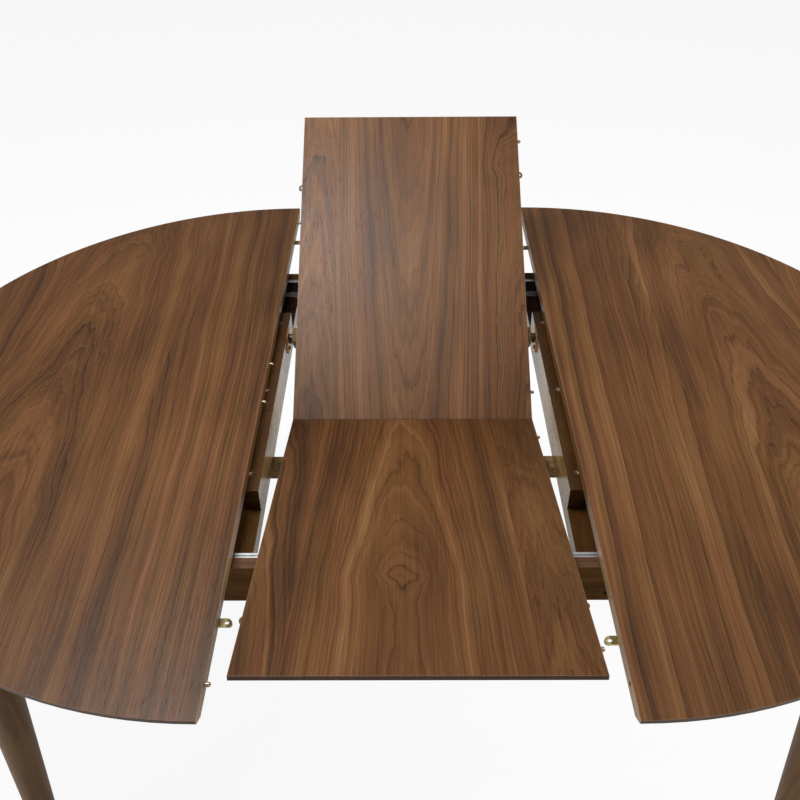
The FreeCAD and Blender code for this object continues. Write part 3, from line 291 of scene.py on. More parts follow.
# Bands that follow the rings: how many in a metre, detail, and weight in the tone
BANDS = ((48.0, 3.0, 1.00), (420.0, 1.0, 0.36))
# Layers that follow the grain: scales across and along it, detail, seed, roughness
STREAK = ((130.0, 1.4, 0.0), 4.0, 3.0, 0.65)
FIBRE = ((430.0, 9.0, 0.0), 2.0, 5.0)
CLOUD = ((10.0, 2.6, 0.0), 2.0, 9.0)
PORE = ((900.0, 42.0, 0.0), 1.0, 7.0)
WARMTH = ((60.0, 1.8, 0.0), 3.0, 11.0)
STREAK_TONE = 0.42
FIBRE_TONE = 0.52
CLOUD_TONE = 0.85
PORE_TONE = -0.08
PORE_RANGE = (0.60, 0.72)
WARMTH_RANGE = (0.38, 0.62)
FIBRE_RANGE = (0.3, 0.7)
WALNUT_TONE = 0.55
WALNUT_ROUGHNESS = (0.36, 0.45)
WALNUT_STOPS = [
    (0.00, (0.042, 0.015, 0.005)),
    (0.25, (0.076, 0.030, 0.009)),
    (0.50, (0.128, 0.053, 0.015)),
    (0.75, (0.188, 0.084, 0.028)),
    (1.00, (0.264, 0.131, 0.049)),
]
RED_TINT = (1.06, 0.96, 1.02, 1.0)
OCHRE_TINT = (0.99, 1.01, 0.94, 1.0)
FIBRE_HEIGHT = 0.4
PORE_HEIGHT = -1.0


def make_walnut_group():
    """Walnut from its ring distance: colour, height for the bump, and roughness."""
    inputs = {"Point": VECTOR, "Ring": FLOAT, "Tone": FLOAT}
    outputs = {"Colour": COLOUR, "Height": FLOAT, "Roughness": FLOAT}
    group, given, leave = number_group("walnut_finish", inputs, outputs)
    point = given["Point"]
    ring = given["Ring"]
    uneven = line_noise(group, calc(group, "MULTIPLY", ring, UNEVEN_IN_METRE), UNEVEN_DETAIL)
    shift = calc(group, "MULTIPLY", uneven, UNEVEN_RINGS)
    phase = calc(group, "MULTIPLY_ADD", ring, RINGS_IN_METRE, shift)
    year = calc(group, "FLOOR", phase)
    strength = node(group, "ShaderNodeTexWhiteNoise", {"W": year}, noise_dimensions="1D").outputs["Value"]
    season = calc(group, "FRACT", phase)
    late = 0.0
    for power, weight in LATE_RISES:
        late = calc(group, "MULTIPLY_ADD", calc(group, "POWER", season, power), weight, late)
    late = calc(group, "MULTIPLY", late, map_range(group, strength, 0.0, 1.0, LATE_LEAST, 1.0))
    streak = grain_noise(group, point, *STREAK)
    fibre = grain_noise(group, point, *FIBRE)
    cloud = grain_noise(group, point, *CLOUD)
    pore = map_range(group, grain_noise(group, point, *PORE), *PORE_RANGE)
    value = WALNUT_TONE
    for in_metre, detail, weight in BANDS:
        band = line_noise(group, calc(group, "MULTIPLY", ring, in_metre), detail)
        value = add_layer(group, value, band, weight)
    value = add_layer(group, value, streak, STREAK_TONE)
    value = add_layer(group, value, fibre, FIBRE_TONE)
    value = add_layer(group, value, cloud, CLOUD_TONE)
    value = calc(group, "MULTIPLY_ADD", late, LATE_TONE, value)
    value = calc(group, "MULTIPLY_ADD", pore, PORE_TONE, value)
    value = calc(group, "ADD", value, given["Tone"], clamp=True)
    colour = ramp(group, value, WALNUT_STOPS)
    warmth = map_range(group, grain_noise(group, point, *WARMTH), *WARMTH_RANGE)
    red = mix_colour(group, 1.0, colour, RED_TINT, "MULTIPLY")
    ochre = mix_colour(group, 1.0, colour, OCHRE_TINT, "MULTIPLY")
    colour = mix_colour(group, warmth, ochre, red)
    height = calc(group, "MULTIPLY_ADD", pore, PORE_HEIGHT, calc(group, "MULTIPLY", fibre, FIBRE_HEIGHT))
    dull = map_range(group, fibre, *FIBRE_RANGE, *WALNUT_ROUGHNESS)
    roughness = calc(group, "MULTIPLY_ADD", late, LATE_ROUGHNESS, dull)
    group.links.new(colour, leave.inputs["Colour"])
    group.links.new(height, leave.inputs["Height"])
    group.links.new(roughness, leave.inputs["Roughness"])
    return group


RINGS = make_ring_group()
WALNUT = make_walnut_group()


def leaf(end, centre, slope, start, seed, tone=0.0, wave=1.0, jag=0.004, eyes=()):
    """One veneer leaf, which reaches to end in X.

    Its arches point along Y the way its slope says, from the start where the cut meets the pith.
    """
    rings = {"Centre": centre, "Slope": slope, "Start": start, "Seed": seed, "Wave": wave, "Jag": jag}
    return {"end": end, "tone": tone, "rings": rings, "eyes": eyes}


# Eyes in the veneer: place, reaches to the left, right, front and back, and height
FRONT_EYE = ((-0.020, -0.425), (0.110, 0.060, 0.045, 0.070), -0.015)
BACK_KNOT = ((0.178, 0.500), (0.050, 0.050, 0.040, 0.060), -0.020)
LEFT_SWIRL = ((-0.530, 0.400), (0.040, 0.050, 0.050, 0.070), -0.018)
RIGHT_KNOT = ((0.578, 0.410), (0.036, 0.040, 0.040, 0.060), -0.022)

LAST = 9.0  # end of a panel's last leaf, beyond every edge

# Leaves of each panel from left to right, in the panel's own flat coordinates
VENEERS = {
    "half_top_left": [
        leaf(-0.670, -0.820, 0.09, -1.20, 3.0, tone=-0.03),
        leaf(-0.408, -0.568, 0.08, -1.30, 7.0, tone=-0.04, jag=0.006, eyes=[LEFT_SWIRL]),
        leaf(LAST, -0.455, 0.05, -1.60, 11.0, tone=-0.02, wave=0.6),
    ],
    "half_top_right": [
        leaf(0.428, 0.455, 0.05, -1.60, 15.0, tone=0.05, wave=0.6),
        leaf(0.690, 0.550, 0.08, -1.30, 19.0, tone=0.05, jag=0.006, eyes=[RIGHT_KNOT]),
        leaf(LAST, 0.820, 0.09, -1.20, 23.0, tone=0.05),
    ],
    "back_leaf_panel": [
        leaf(-0.135, -0.176, 0.06, -0.90, 27.0, tone=0.02, wave=0.8, jag=0.006),
        leaf(0.132, -0.004, -0.06, 1.30, 31.0, tone=0.02, wave=0.6, jag=0.008),
        leaf(LAST, 0.205, 0.06, -0.80, 35.0, jag=0.008, eyes=[BACK_KNOT]),
    ],
    "front_leaf_panel": [
        leaf(-0.147, -0.225, 0.07, -1.30, 39.0, tone=-0.03, wave=0.8),
        leaf(0.132, -0.012, 0.05, -2.10, 44.3, tone=0.01, wave=0.4, jag=0.003, eyes=[FRONT_EYE]),
        leaf(LAST, 0.160, 0.07, -1.30, 47.0, tone=-0.04, wave=0.8, jag=0.020),
    ],
}

# Sides along X that meet the next panel
JOINT_SIDES = {
    "half_top_left": (1,),
    "half_top_right": (-1,),
    "back_leaf_panel": (-1, 1),
    "front_leaf_panel": (-1, 1),
}
VENEER_GLOSS = 0.34
VENEER_RELIEF = 0.00015
VENEER_EDGE = 0.0012
# Arris wear and painted highlight: share, and the worn, lit colour
ARRIS_WEAR_AND_HIGHLIGHT = 0.55
ARRIS_WORN_LIT_COLOUR = (0.500, 0.330, 0.235, 1.0)
# The upright faces, the outer rims among them, are mixed towards a near-black brown
RIM_UPRIGHT = 0.5
RIM_DARKENING = 0.70
RIM_COLOUR = (0.034, 0.011, 0.003, 1.0)
# Painted light: the lipping at the joints is painted paler towards the ends of the half tops
EDGE_ROUGHNESS = 0.36
EDGE_GRAIN = ((260.0, 6.0, 260.0), 3.0, 2.0)
EDGE_PALER_FROM = 0.26
EDGE_PALER_TO = 0.40
LEAF_EDGE_PALER = 0.25
EDGE_STOPS = [
    (0.25, (0.100, 0.049, 0.018)),
    (0.55, (0.148, 0.076, 0.030)),
    (0.85, (0.205, 0.114, 0.050)),
]
# Painted light: the paler colour of the lipping towards the half tops' ends
EDGE_LIT_END_STOPS = [
    (0.25, (0.265, 0.155, 0.070)),
    (0.55, (0.385, 0.245, 0.120)),
    (0.85, (0.490, 0.335, 0.185)),
]
# Painted shade dims the front panel a little towards the fold, and the fold line itself gets neither arris
# wear nor painted highlight
FOLD_CLEAR = 0.004
FOLD_PAINTED_SHADE = -0.14
FOLD_PAINTED_SHADE_REACH = 0.22


def flat_frame(tree, name):
    """A panel's point and normal with the panel laid flat in the table's top."""
    point = surface_point(tree)
    normal = surface_normal(tree)
    tilts = {
        "back_leaf_panel": (-BACK_TILT, PIVOT, PIVOT),
        "front_leaf_panel": (FRONT_TILT, FOLD, Vector((0.0, 0.0, TOP_LEVEL + FOLD_LIFT))),
    }
    if name not in tilts:
        return point, normal
    turn, standing, lying = tilts[name]
    turned = {"Rotation": (turn, 0.0, 0.0)}
    shift = {"Location": lying - Matrix.Rotation(turn, 3, "X") @ standing}
    point = node(tree, "ShaderNodeMapping", {"Vector": point, **turned, **shift}).outputs["Vector"]
    normal = node(tree, "ShaderNodeMapping", {"Vector": normal, **turned}).outputs["Vector"]
    return point, normal


def leaf_rings(tree, point, spot, one_leaf):
    bump = eye_bump(tree, point, spot, one_leaf["eyes"])
    return use_group(tree, RINGS, {"Point": point, "Bump": bump, **one_leaf["rings"]})["Ring"]


def edge_colour(tree, name, point, along):
    """The solid lipping along a joint, with its grain along Y; on the half tops it is painted paler towards
    the ends, as painted light.
    """
    grain = grain_noise(tree, point, *EDGE_GRAIN)
    paler = LEAF_EDGE_PALER
    if name.startswith("half_top"):
        # Painted light: paler towards the half tops' ends
        paler = map_range(tree, calc(tree, "ABSOLUTE", along), EDGE_PALER_FROM, EDGE_PALER_TO)
    return mix_colour(tree, paler, ramp(tree, grain, EDGE_STOPS), ramp(tree, grain, EDGE_LIT_END_STOPS))


def veneer(name):
    """Veneer over a panel, with a dark rim, worn arrises with a painted highlight, and stained solid wood
    on the sides that meet the next panel, painted paler towards the half tops' ends.
    """
    material, tree = new_material(f"{name}_veneer")
    point, normal = flat_frame(tree, name)
    spot = axes_of(tree, point)
    facing = axes_of(tree, normal)
    first, *others = VENEERS[name]
    ring = leaf_rings(tree, point, spot, first)
    tone = first["tone"]
    end = first["end"]
    for after in others:
        beyond = calc(tree, "GREATER_THAN", spot["X"], end)
        ring = mix_number(tree, beyond, ring, leaf_rings(tree, point, spot, after))
        tone = mix_number(tree, beyond, tone, after["tone"])
        end = after["end"]
    # Painted shade: the front panel dims towards the fold
    if name == "front_leaf_panel":
        near_fold = map_range(tree, spot["Y"], -FOLD_PAINTED_SHADE_REACH, 0.0)
        tone = calc(tree, "MULTIPLY_ADD", near_fold, FOLD_PAINTED_SHADE, tone)
    wood = use_group(tree, WALNUT, {"Point": point, "Ring": ring, "Tone": tone})
    upright = calc(tree, "LESS_THAN", calc(tree, "ABSOLUTE", facing["Z"]), RIM_UPRIGHT)
    colour = mix_colour(tree, calc(tree, "MULTIPLY", upright, RIM_DARKENING), wood["Colour"], RIM_COLOUR)
    side = facing_mask(tree, facing["X"], JOINT_SIDES[name])
    colour = mix_colour(tree, side, colour, edge_colour(tree, name, point, spot["Y"]))
    # Arris wear, with a painted highlight along the arris
    worn = calc(tree, "MULTIPLY", arris_wear_and_highlight(tree), ARRIS_WEAR_AND_HIGHLIGHT)
    if name.endswith("leaf_panel"):
        off_fold = calc(tree, "GREATER_THAN", calc(tree, "ABSOLUTE", spot["Y"]), FOLD_CLEAR)
        worn = calc(tree, "MULTIPLY", worn, off_fold)
    colour = mix_colour(tree, worn, colour, ARRIS_WORN_LIT_COLOUR)
    roughness = mix_number(tree, side, wood["Roughness"], EDGE_ROUGHNESS)
    shader = {"Specular IOR Level": VENEER_GLOSS}
    finish_material(tree, colour, roughness, wood["Height"], VENEER_RELIEF, VENEER_EDGE, shader)
    return material


# Solid wood of the carriage and the legs

WOOD_LONG_SCALE = 5.0
WOOD_CROSS_SCALE = 75.0
WOOD_FINER = 8.0
WOOD_GRAIN = (4.0, 1.0, 0.6)  # detail, seed and roughness of the noise
WOOD_FINE = (2.0, 4.0)  # detail and seed
WOOD_CLOUD = (9.0, 2.0, 6.0)  # scale, detail and seed
WOOD_FINE_TONE = 0.45
WOOD_CLOUD_TONE = 0.35
WOOD_FINE_RANGE = (0.3, 0.7)
WOOD_ROUGHNESS_SPREAD = 0.06
WOOD_RELIEF = 0.00008
WOOD_EDGE = 0.0015
RAW_STOPS = [
    (0.25, (0.480, 0.320, 0.220)),
    (0.50, (0.600, 0.430, 0.310)),
    (0.80, (0.720, 0.540, 0.410)),
]
# Inner faces of the rail boards and battens: a lighter copy of their stain, painted light where they face
# the gap
INNER_LIT_STOPS = [
    (0.25, (0.160, 0.096, 0.032)),
    (0.50, (0.250, 0.156, 0.056)),
    (0.80, (0.335, 0.220, 0.088)),
]
APRON_STOPS = [
    (0.25, (0.058, 0.022, 0.003)),
    (0.50, (0.118, 0.048, 0.008)),
    (0.80, (0.205, 0.098, 0.026)),
]
# The front apron's top: a lighter copy of the apron stain, painted light from above
APRON_LIT_TOP_STOPS = [
    (0.25, (0.080, 0.038, 0.020)),
    (0.50, (0.145, 0.072, 0.040)),
    (0.80, (0.230, 0.125, 0.075)),
]
# Painted shade: the stain as it looks in deep shade
PAINTED_SHADE_STOPS = [
    (0.25, (0.022, 0.009, 0.005)),
    (0.50, (0.040, 0.017, 0.009)),
    (0.80, (0.070, 0.032, 0.016)),
]
BATTEN_STOPS = [
    (0.25, (0.034, 0.013, 0.003)),
    (0.50, (0.064, 0.026, 0.006)),
    (0.80, (0.105, 0.047, 0.014)),
]
# Rail boards: the left painted lighter and the right painted deeper, as painted light and shade
BOARD_LIT_AND_SHADED_STOPS = {
    "left": [
        (0.25, (0.105, 0.046, 0.011)),
        (0.50, (0.195, 0.090, 0.024)),
        (0.80, (0.310, 0.165, 0.055)),
    ],
    "right": [
        (0.25, (0.048, 0.018, 0.005)),
        (0.50, (0.085, 0.034, 0.009)),
        (0.80, (0.140, 0.062, 0.020)),
    ],
}
BAR_STOPS = [
    (0.25, (0.130, 0.073, 0.024)),
    (0.50, (0.230, 0.138, 0.050)),
    (0.80, (0.350, 0.230, 0.095)),
]
LEG_STOPS = [
    (0.25, (0.098, 0.046, 0.014)),
    (0.50, (0.156, 0.078, 0.026)),
    (0.80, (0.220, 0.117, 0.043)),
]


def solid_wood(name, along, stops, roughness, gloss, faces=(), bores=None, painted_shade=None):
    """Solid stained wood with its grain along one axis.

    Faces may have their own colours, which paint the light and shade that fall on them: axis, sign, stops.
    Bores are raw inside: places, radius, top.
    Painted shade may deepen it along an axis: axis, start, end.
    """
    material, tree = new_material(name)
    point = surface_point(tree)
    spot = axes_of(tree, point)
    facing = axes_of(tree, surface_normal(tree))
    scales = [WOOD_LONG_SCALE if axis == along else WOOD_CROSS_SCALE for axis in "XYZ"]
    grain = grain_noise(tree, point, scales, *WOOD_GRAIN)
    fine = grain_noise(tree, point, [WOOD_FINER * scale for scale in scales], *WOOD_FINE)
    value = add_layer(tree, grain, fine, WOOD_FINE_TONE)
    value = add_layer(tree, value, noise(tree, point, *WOOD_CLOUD), WOOD_CLOUD_TONE, clamp=True)
    colour = ramp(tree, value, stops)
    # Painted shade, deepening along the axis
    if painted_shade:
        axis, start, end = painted_shade
        shade_share = map_range(tree, spot[axis], start, end)
        colour = mix_colour(tree, shade_share, colour, ramp(tree, value, PAINTED_SHADE_STOPS))
    # Faces with their own painted light and shade
    for axis, sign, face_stops in faces:
        side = facing_mask(tree, facing[axis], (sign,))
        colour = mix_colour(tree, side, colour, ramp(tree, value, face_stops))
    if bores:
        colour = mix_colour(tree, bore_mask(tree, spot, *bores), colour, ramp(tree, value, RAW_STOPS))
    spread = (roughness - WOOD_ROUGHNESS_SPREAD, roughness + WOOD_ROUGHNESS_SPREAD)
    dull = map_range(tree, fine, *WOOD_FINE_RANGE, *spread)
    finish_material(tree, colour, dull, fine, WOOD_RELIEF, WOOD_EDGE, {"Specular IOR Level": gloss})
    return material


def bore_mask(tree, spot, places, radius, top):
    """One inside upright bores, below the surface they are bored from."""
    flat = node(tree, "ShaderNodeCombineXYZ", {"X": spot["X"], "Y": spot["Y"]}).outputs["Vector"]
    inside = 0.0
    for x, y in places:
        sockets = {0: flat, 1: (x, y, 0.0)}
        away = node(tree, "ShaderNodeVectorMath", sockets, operation="DISTANCE").outputs["Value"]
        inside = calc(tree, "MAXIMUM", inside, calc(tree, "LESS_THAN", away, radius))
    return calc(tree, "MULTIPLY", inside, calc(tree, "LESS_THAN", spot["Z"], top))


# Metals and small parts

# Brushing and dull spots of the small metal pieces: scales, detail and seed
METAL_BRUSH = ((60.0, 1400.0, 1400.0), 2.0, 2.0)
METAL_SPOTS = (140.0, 3.0, 5.0)
METAL_SPOT_RANGE = (0.38, 0.66)
METAL_DULL_RANGE = (0.3, 0.7)
METAL_SMOOTHER = 0.08
METAL_ROUGHER = 0.12
METAL_RELIEF = 0.00004
METAL_EDGE = 0.0006
# Colour, worn colour and roughness
METALS = {
    "brass": ((0.50, 0.42, 0.20), (0.30, 0.24, 0.10), 0.27),
    "pin_brass": ((0.66, 0.54, 0.38), (0.54, 0.42, 0.28), 0.40),
    "copper_plate": ((0.66, 0.34, 0.15), (0.52, 0.25, 0.10), 0.42),
    "screw_steel": ((0.46, 0.43, 0.36), (0.33, 0.30, 0.25), 0.38),
    "dark_steel": ((0.10, 0.095, 0.09), (0.06, 0.055, 0.05), 0.45),
}


def metal(name):
    """Plated metal with faint brushing, dull spots and a brighter or duller tint in places."""
    colour, worn, roughness = METALS[name]
    material, tree = new_material(name)
    point = surface_point(tree)
    brush = grain_noise(tree, point, *METAL_BRUSH)
    spots = noise(tree, point, *METAL_SPOTS)
    tint = mix_colour(tree, map_range(tree, spots, *METAL_SPOT_RANGE), (*colour, 1.0), (*worn, 1.0))
    spread = (roughness - METAL_SMOOTHER, roughness + METAL_ROUGHER)
    dull = map_range(tree, spots, *METAL_DULL_RANGE, *spread)
    finish_material(tree, tint, dull, brush, METAL_RELIEF, METAL_EDGE, {"Metallic": 1.0})
    return material


# Zinc-plated strip of the slides: dull and pale on top, mirror-like on its sides, which carry a painted
# shade
ZINC_BRUSH = ((25.0, 1400.0, 1400.0), 2.0, 2.0)
ZINC_SPOTS = ((30.0, 160.0, 160.0), 2.0, 5.0)
ZINC_SPOT_RANGE = (0.35, 0.65)
ZINC_DULL_RANGE = (0.3, 0.7)
ZINC_COLOUR = (0.88, 0.89, 0.92, 1.0)
ZINC_WORN = (0.78, 0.80, 0.83, 1.0)
# Painted shade on the strip's sides
ZINC_SHADED_SIDE = (0.50, 0.51, 0.53, 1.0)
ZINC_TOP_ROUGHNESS = (0.33, 0.46)
ZINC_SIDE_ROUGHNESS = 0.15
ZINC_RELIEF = 0.00002
SEAM_COLOUR = (0.030, 0.028, 0.026, 1.0)
SEAM_HALF = 0.0008
SEAM_DEPTH = 0.0004


def slide_metal(name):
    """The slides' strip, with the dark gap between the rolled edges along its top."""
    lip_low, lip_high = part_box("slide_channel_back")
    seam_y = (lip_low.y + lip_high.y) / 2.0
    material, tree = new_material(name)
    point = surface_point(tree)
    spot = axes_of(tree, point)
    upward = facing_mask(tree, axes_of(tree, surface_normal(tree))["Z"], (1,))
    brush = grain_noise(tree, point, *ZINC_BRUSH)
    spots = grain_noise(tree, point, *ZINC_SPOTS)
    tint = mix_colour(tree, map_range(tree, spots, *ZINC_SPOT_RANGE), ZINC_COLOUR, ZINC_WORN)
    # The sides get the painted shade
    tint = mix_colour(tree, upward, ZINC_SHADED_SIDE, tint)
    from_seam = calc(tree, "SUBTRACT", calc(tree, "ABSOLUTE", spot["Y"]), seam_y)
    seam = calc(tree, "LESS_THAN", calc(tree, "ABSOLUTE", from_seam), SEAM_HALF)
    seam = calc(tree, "MULTIPLY", seam, calc(tree, "GREATER_THAN", spot["Z"], lip_high.z - SEAM_DEPTH))
    tint = mix_colour(tree, seam, tint, SEAM_COLOUR)
    dull = map_range(tree, spots, *ZINC_DULL_RANGE, *ZINC_TOP_ROUGHNESS)
    dull = mix_number(tree, upward, ZINC_SIDE_ROUGHNESS, dull)
    finish_material(tree, tint, dull, brush, ZINC_RELIEF, METAL_EDGE, {"Metallic": 1.0})
    return material


PLASTIC_GRAIN = (900.0, 2.0, 1.0)
PLASTIC_SPECK_RANGE = (0.35, 0.65)
PLASTIC_DULL_RANGE = (0.3, 0.7)
PLASTIC_ROUGHNESS = (0.45, 0.6)
PLASTIC_COLOUR = (0.030, 0.027, 0.024, 1.0)
PLASTIC_SPECK = (0.045, 0.040, 0.036, 1.0)
PLASTIC_RELIEF = 0.0001
PLASTIC_EDGE = 0.0008


def plastic(name):
    """Moulded nylon with a fine grain."""
    material, tree = new_material(name)
    grain = noise(tree, surface_point(tree), *PLASTIC_GRAIN)
    speck = map_range(tree, grain, *PLASTIC_SPECK_RANGE)
    shade = mix_colour(tree, speck, PLASTIC_COLOUR, PLASTIC_SPECK)
    dull = map_range(tree, grain, *PLASTIC_DULL_RANGE, *PLASTIC_ROUGHNESS)
    finish_material(tree, shade, dull, grain, PLASTIC_RELIEF, PLASTIC_EDGE)
    return material


FELT_FUZZ = (1600.0, 4.0, 1.0, 0.7)
FELT_LINT_RANGE = (0.4, 0.7)
FELT_DULL_RANGE = (0.3, 0.7)
FELT_ROUGHNESS = (0.85, 1.0)
FELT_COLOUR = (0.085, 0.052, 0.024, 1.0)
FELT_LINT = (0.130, 0.085, 0.042, 1.0)
FELT_RELIEF = 0.0006
FELT_SHEEN = 0.4


def felt(name):
    """Pressed felt with paler lint."""
    material, tree = new_material(name)
    fuzz = noise(tree, surface_point(tree), *FELT_FUZZ)
    shade = mix_colour(tree, map_range(tree, fuzz, *FELT_LINT_RANGE), FELT_COLOUR, FELT_LINT)
    dull = map_range(tree, fuzz, *FELT_DULL_RANGE, *FELT_ROUGHNESS)
    finish_material(tree, shade, dull, fuzz, FELT_RELIEF, shader={"Sheen Weight": FELT_SHEEN})
    return material


# Dressing the CAD nodes

SIDES = {"left": -1, "right": 1}
# Roughness and gloss of each finish
APRON_FINISH = (0.55, 0.05)
RAIL_FINISH = (0.24, 0.30)
LEG_FINISH = (0.40, 0.16)
BAR_FINISH = (0.5, 0.1)
BLOCK_FINISH = (0.6, 0.15)
# Axis, start and end of the painted shade that deepens the rail boards towards the back
BOARD_BACK_SHADE = ("Y", 0.05, 0.28)
# Counterbores in the battens, raw inside below their rim
BATTEN_HOLE_X = 0.234
BATTEN_HOLES_Y = (-0.195, 0.0, 0.195)
BATTEN_HOLE_RADIUS = 0.0052
BATTEN_RIM = 0.0004
DARK_PIECES = ("pivot_pins", "pivot_spacers", "hardware_screws")


def dress(material, *names):
    """Give CAD nodes a material in place of their own."""
    for name in names:
        slots = NODES[name].data.materials
        slots.clear()
        slots.append(material)


def dress_aprons():
    # The front apron's top gets painted light
    front = [("Z", 1, APRON_LIT_TOP_STOPS)]
    dress(solid_wood("front_apron_stain_and_painted_light", "X", APRON_STOPS, *APRON_FINISH, front), "apron_front")
    # The back apron's top and inner face get painted shade
    back = [("Z", 1, BATTEN_STOPS), ("Y", -1, PAINTED_SHADE_STOPS)]
    dress(solid_wood("back_apron_stain_and_painted_shade", "X", APRON_STOPS, *APRON_FINISH, back), "apron_back")
    ends = solid_wood("end_apron_stain", "Y", APRON_STOPS, *APRON_FINISH)
    dress(ends, "end_apron_left", "end_apron_right")


def dress_rails():
    for side, sign in SIDES.items():
        # The inner faces get painted light, and the boards painted shade towards the back
        inner = [("X", -sign, INNER_LIT_STOPS)]
        name = f"board_stain_and_painted_light_{side}"
        board = solid_wood(name, "Y", BOARD_LIT_AND_SHADED_STOPS[side], *RAIL_FINISH, inner, painted_shade=BOARD_BACK_SHADE)
        dress(board, f"rail_board_{side}")
        holes = [(sign * BATTEN_HOLE_X, y) for y in BATTEN_HOLES_Y]
        bore_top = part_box(f"rail_batten_{side}")[1].z - BATTEN_RIM
        bores = (holes, BATTEN_HOLE_RADIUS, bore_top)
        # The batten's inner face gets painted light
        batten = solid_wood(f"batten_stain_and_painted_light_{side}", "Y", BATTEN_STOPS, *RAIL_FINISH, inner, bores)
        dress(batten, f"rail_batten_{side}")


def metal_of(name):
    """The metal of a piece, or nothing where it is of another material."""
    if name in DARK_PIECES:
        return "dark_steel"
    if "screw" in name or "bolt" in name:
        return "screw_steel"
    if name.startswith(("alignment_pins", "leaf_pins")):
        return "pin_brass"
    if name.startswith(("latch_", "hinge_")):
        return "brass"
    if name.startswith("pivot_bracket"):
        return "copper_plate"
    if name.startswith(("slide_", "ball_cages")):
        return "slide_steel"
    return None


def dress_table():
    for name in VENEERS:
        dress(veneer(name), name)
    dress_aprons()
    dress_rails()
    legs = [name for name in NODES if name.startswith(("leg_front", "leg_back"))]
    dress(solid_wood("leg_wood", "Z", LEG_STOPS, *LEG_FINISH), *legs)
    dress(solid_wood("bar_wood", "X", BAR_STOPS, *BAR_FINISH), "pivot_bar", "rest_bar")
    dress(solid_wood("block_wood", "Z", BAR_STOPS, *BLOCK_FINISH), "leg_blocks_left", "leg_blocks_right")
    metals = {name: metal(name) for name in METALS}
    metals["slide_steel"] = slide_metal("slide_steel")
    for name in NODES:
        if metal_of(name):
            dress(metals[metal_of(name)], name)
    dress(plastic("glide_plastic"), "foot_glides_left", "foot_glides_right")
    dress(felt("felt"), "rest_bar_felt")


# Stage: floor, light and camera

WHITE = (1.0, 1.0, 1.0, 1.0)
FLOOR_HALF = 9.0
FLOOR_LEVEL = -0.0005
FLOOR_PLAIN = (0.80, 0.80, 0.80, 1.0)
# Albedo and glow of the floor as polished surfaces mirror it, and as the camera sees it
FLOOR_MIRRORED = (0.85, 0.20)
FLOOR_SEEN = (0.16, 0.885)
SKY_LIGHT = 0.24
SKY_SEEN = 0.94


def pale_floor(tree, albedo, glow):
    """A white floor that takes shadow, with a glow of its own."""
    shade = node(tree, "ShaderNodeBsdfDiffuse", {"Color": (albedo, albedo, albedo, 1.0)})
    light = node(tree, "ShaderNodeEmission", {"Color": WHITE, "Strength": glow})
    return node(tree, "ShaderNodeAddShader", {0: shade.outputs[0], 1: light.outputs[0]}).outputs[0]


def make_floor():
    mesh = bpy.data.meshes.new("floor")
    corners = ((-1, -1), (1, -1), (1, 1), (-1, 1))
    places = [(x * FLOOR_HALF, y * FLOOR_HALF, FLOOR_LEVEL) for x, y in corners]
    mesh.from_pydata(places, [], [(0, 1, 2, 3)])
    floor = bpy.data.objects.new("floor", mesh)
    bpy.context.scene.collection.objects.link(floor)
    material, tree = new_material("floor_white")
    path = node(tree, "ShaderNodeLightPath").outputs
    plain = node(tree, "ShaderNodeBsdfDiffuse", {"Color": FLOOR_PLAIN}).outputs[0]
    sockets = {0: path["Is Glossy Ray"], 1: plain, 2: pale_floor(tree, *FLOOR_MIRRORED)}
    unseen = node(tree, "ShaderNodeMixShader", sockets).outputs[0]
    sockets = {0: path["Is Camera Ray"], 1: unseen, 2: pale_floor(tree, *FLOOR_SEEN)}
    surface = node(tree, "ShaderNodeMixShader", sockets)
    output = node(tree, "ShaderNodeOutputMaterial")
    tree.links.new(surface.outputs[0], output.inputs["Surface"])
    mesh.materials.append(material)


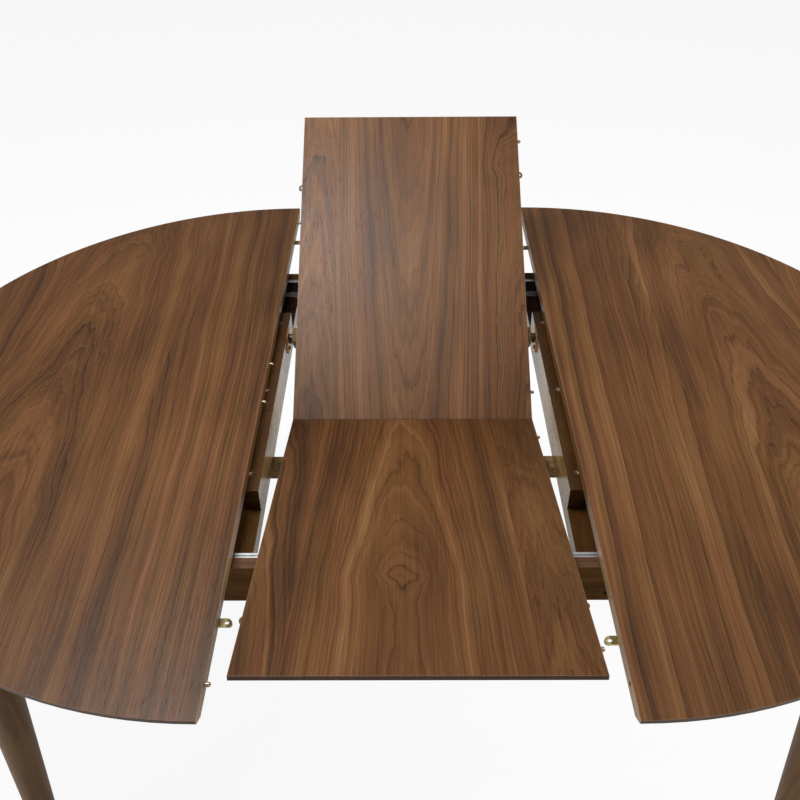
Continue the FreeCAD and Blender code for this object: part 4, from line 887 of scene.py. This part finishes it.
def make_world():
    world = bpy.data.worlds.new("studio")
    bpy.context.scene.world = world
    world.use_nodes = True
    tree = world.node_tree
    tree.nodes.clear()
    path = node(tree, "ShaderNodeLightPath").outputs
    light = node(tree, "ShaderNodeBackground", {"Color": WHITE, "Strength": SKY_LIGHT})
    seen = node(tree, "ShaderNodeBackground", {"Color": WHITE, "Strength": SKY_SEEN})
    sockets = {0: path["Is Camera Ray"], 1: light.outputs[0], 2: seen.outputs[0]}
    surface = node(tree, "ShaderNodeMixShader", sockets)
    output = node(tree, "ShaderNodeOutputWorld")
    tree.links.new(surface.outputs[0], output.inputs["Surface"])


# Place, target, width, depth and watts
LIGHTS = {
    "overhead": ((-0.60, 0.1, 2.6), (-0.2, 0.15, 0.8), 0.5, 1.1, 25.0),
    "left_box": ((-4.5, -2.0, 2.6), (0.0, 0.0, 0.6), 2.4, 2.4, 75.0),
    "right_box": ((2.6, -0.4, 2.0), (0.0, 0.0, 0.7), 1.5, 1.5, 38.0),
}


def make_lights():
    for name, (place, target, width, depth, power) in LIGHTS.items():
        lamp = bpy.data.lights.new(name, "AREA")
        lamp.shape = "RECTANGLE"
        lamp.size = width
        lamp.size_y = depth
        lamp.energy = power
        light = bpy.data.objects.new(name, lamp)
        light.location = place
        light.rotation_euler = (Vector(target) - Vector(place)).to_track_quat("-Z", "Y").to_euler()
        bpy.context.scene.collection.objects.link(light)


# The camera as the photograph was taken: focal length in pixels of an 800 pixel frame
FOCAL_PIXELS = 858.17
FRAME_PIXELS = 800.0
SENSOR = 36.0
CAMERA_PLACE = Vector((-0.0124, -1.09467, 1.58922))
CAMERA_PITCH = math.radians(38.964)
CAMERA_YAW = math.radians(-0.431)
CAMERA_ROLL = math.radians(-0.474)


def make_camera():
    data = bpy.data.cameras.new("camera")
    data.sensor_width = SENSOR
    data.lens = FOCAL_PIXELS / FRAME_PIXELS * SENSOR
    camera = bpy.data.objects.new("camera", data)
    bpy.context.scene.collection.objects.link(camera)
    rise = math.sin(CAMERA_PITCH)
    run = math.cos(CAMERA_PITCH)
    level = Matrix(((1, 0, 0), (0, -rise, -run), (0, run, -rise)))
    yaw = Matrix.Rotation(CAMERA_YAW, 3, "Z")
    roll = Matrix.Rotation(CAMERA_ROLL, 3, "Z")
    right, down, forward = roll @ level @ yaw
    turned = Matrix((right, -down, -forward)).transposed()
    camera.matrix_world = Matrix.Translation(CAMERA_PLACE) @ turned.to_4x4()
    bpy.context.scene.camera = camera


dress_table()
make_floor()
make_world()
make_lights()
make_camera()
bpy.context.scene.view_settings.view_transform = "Standard"
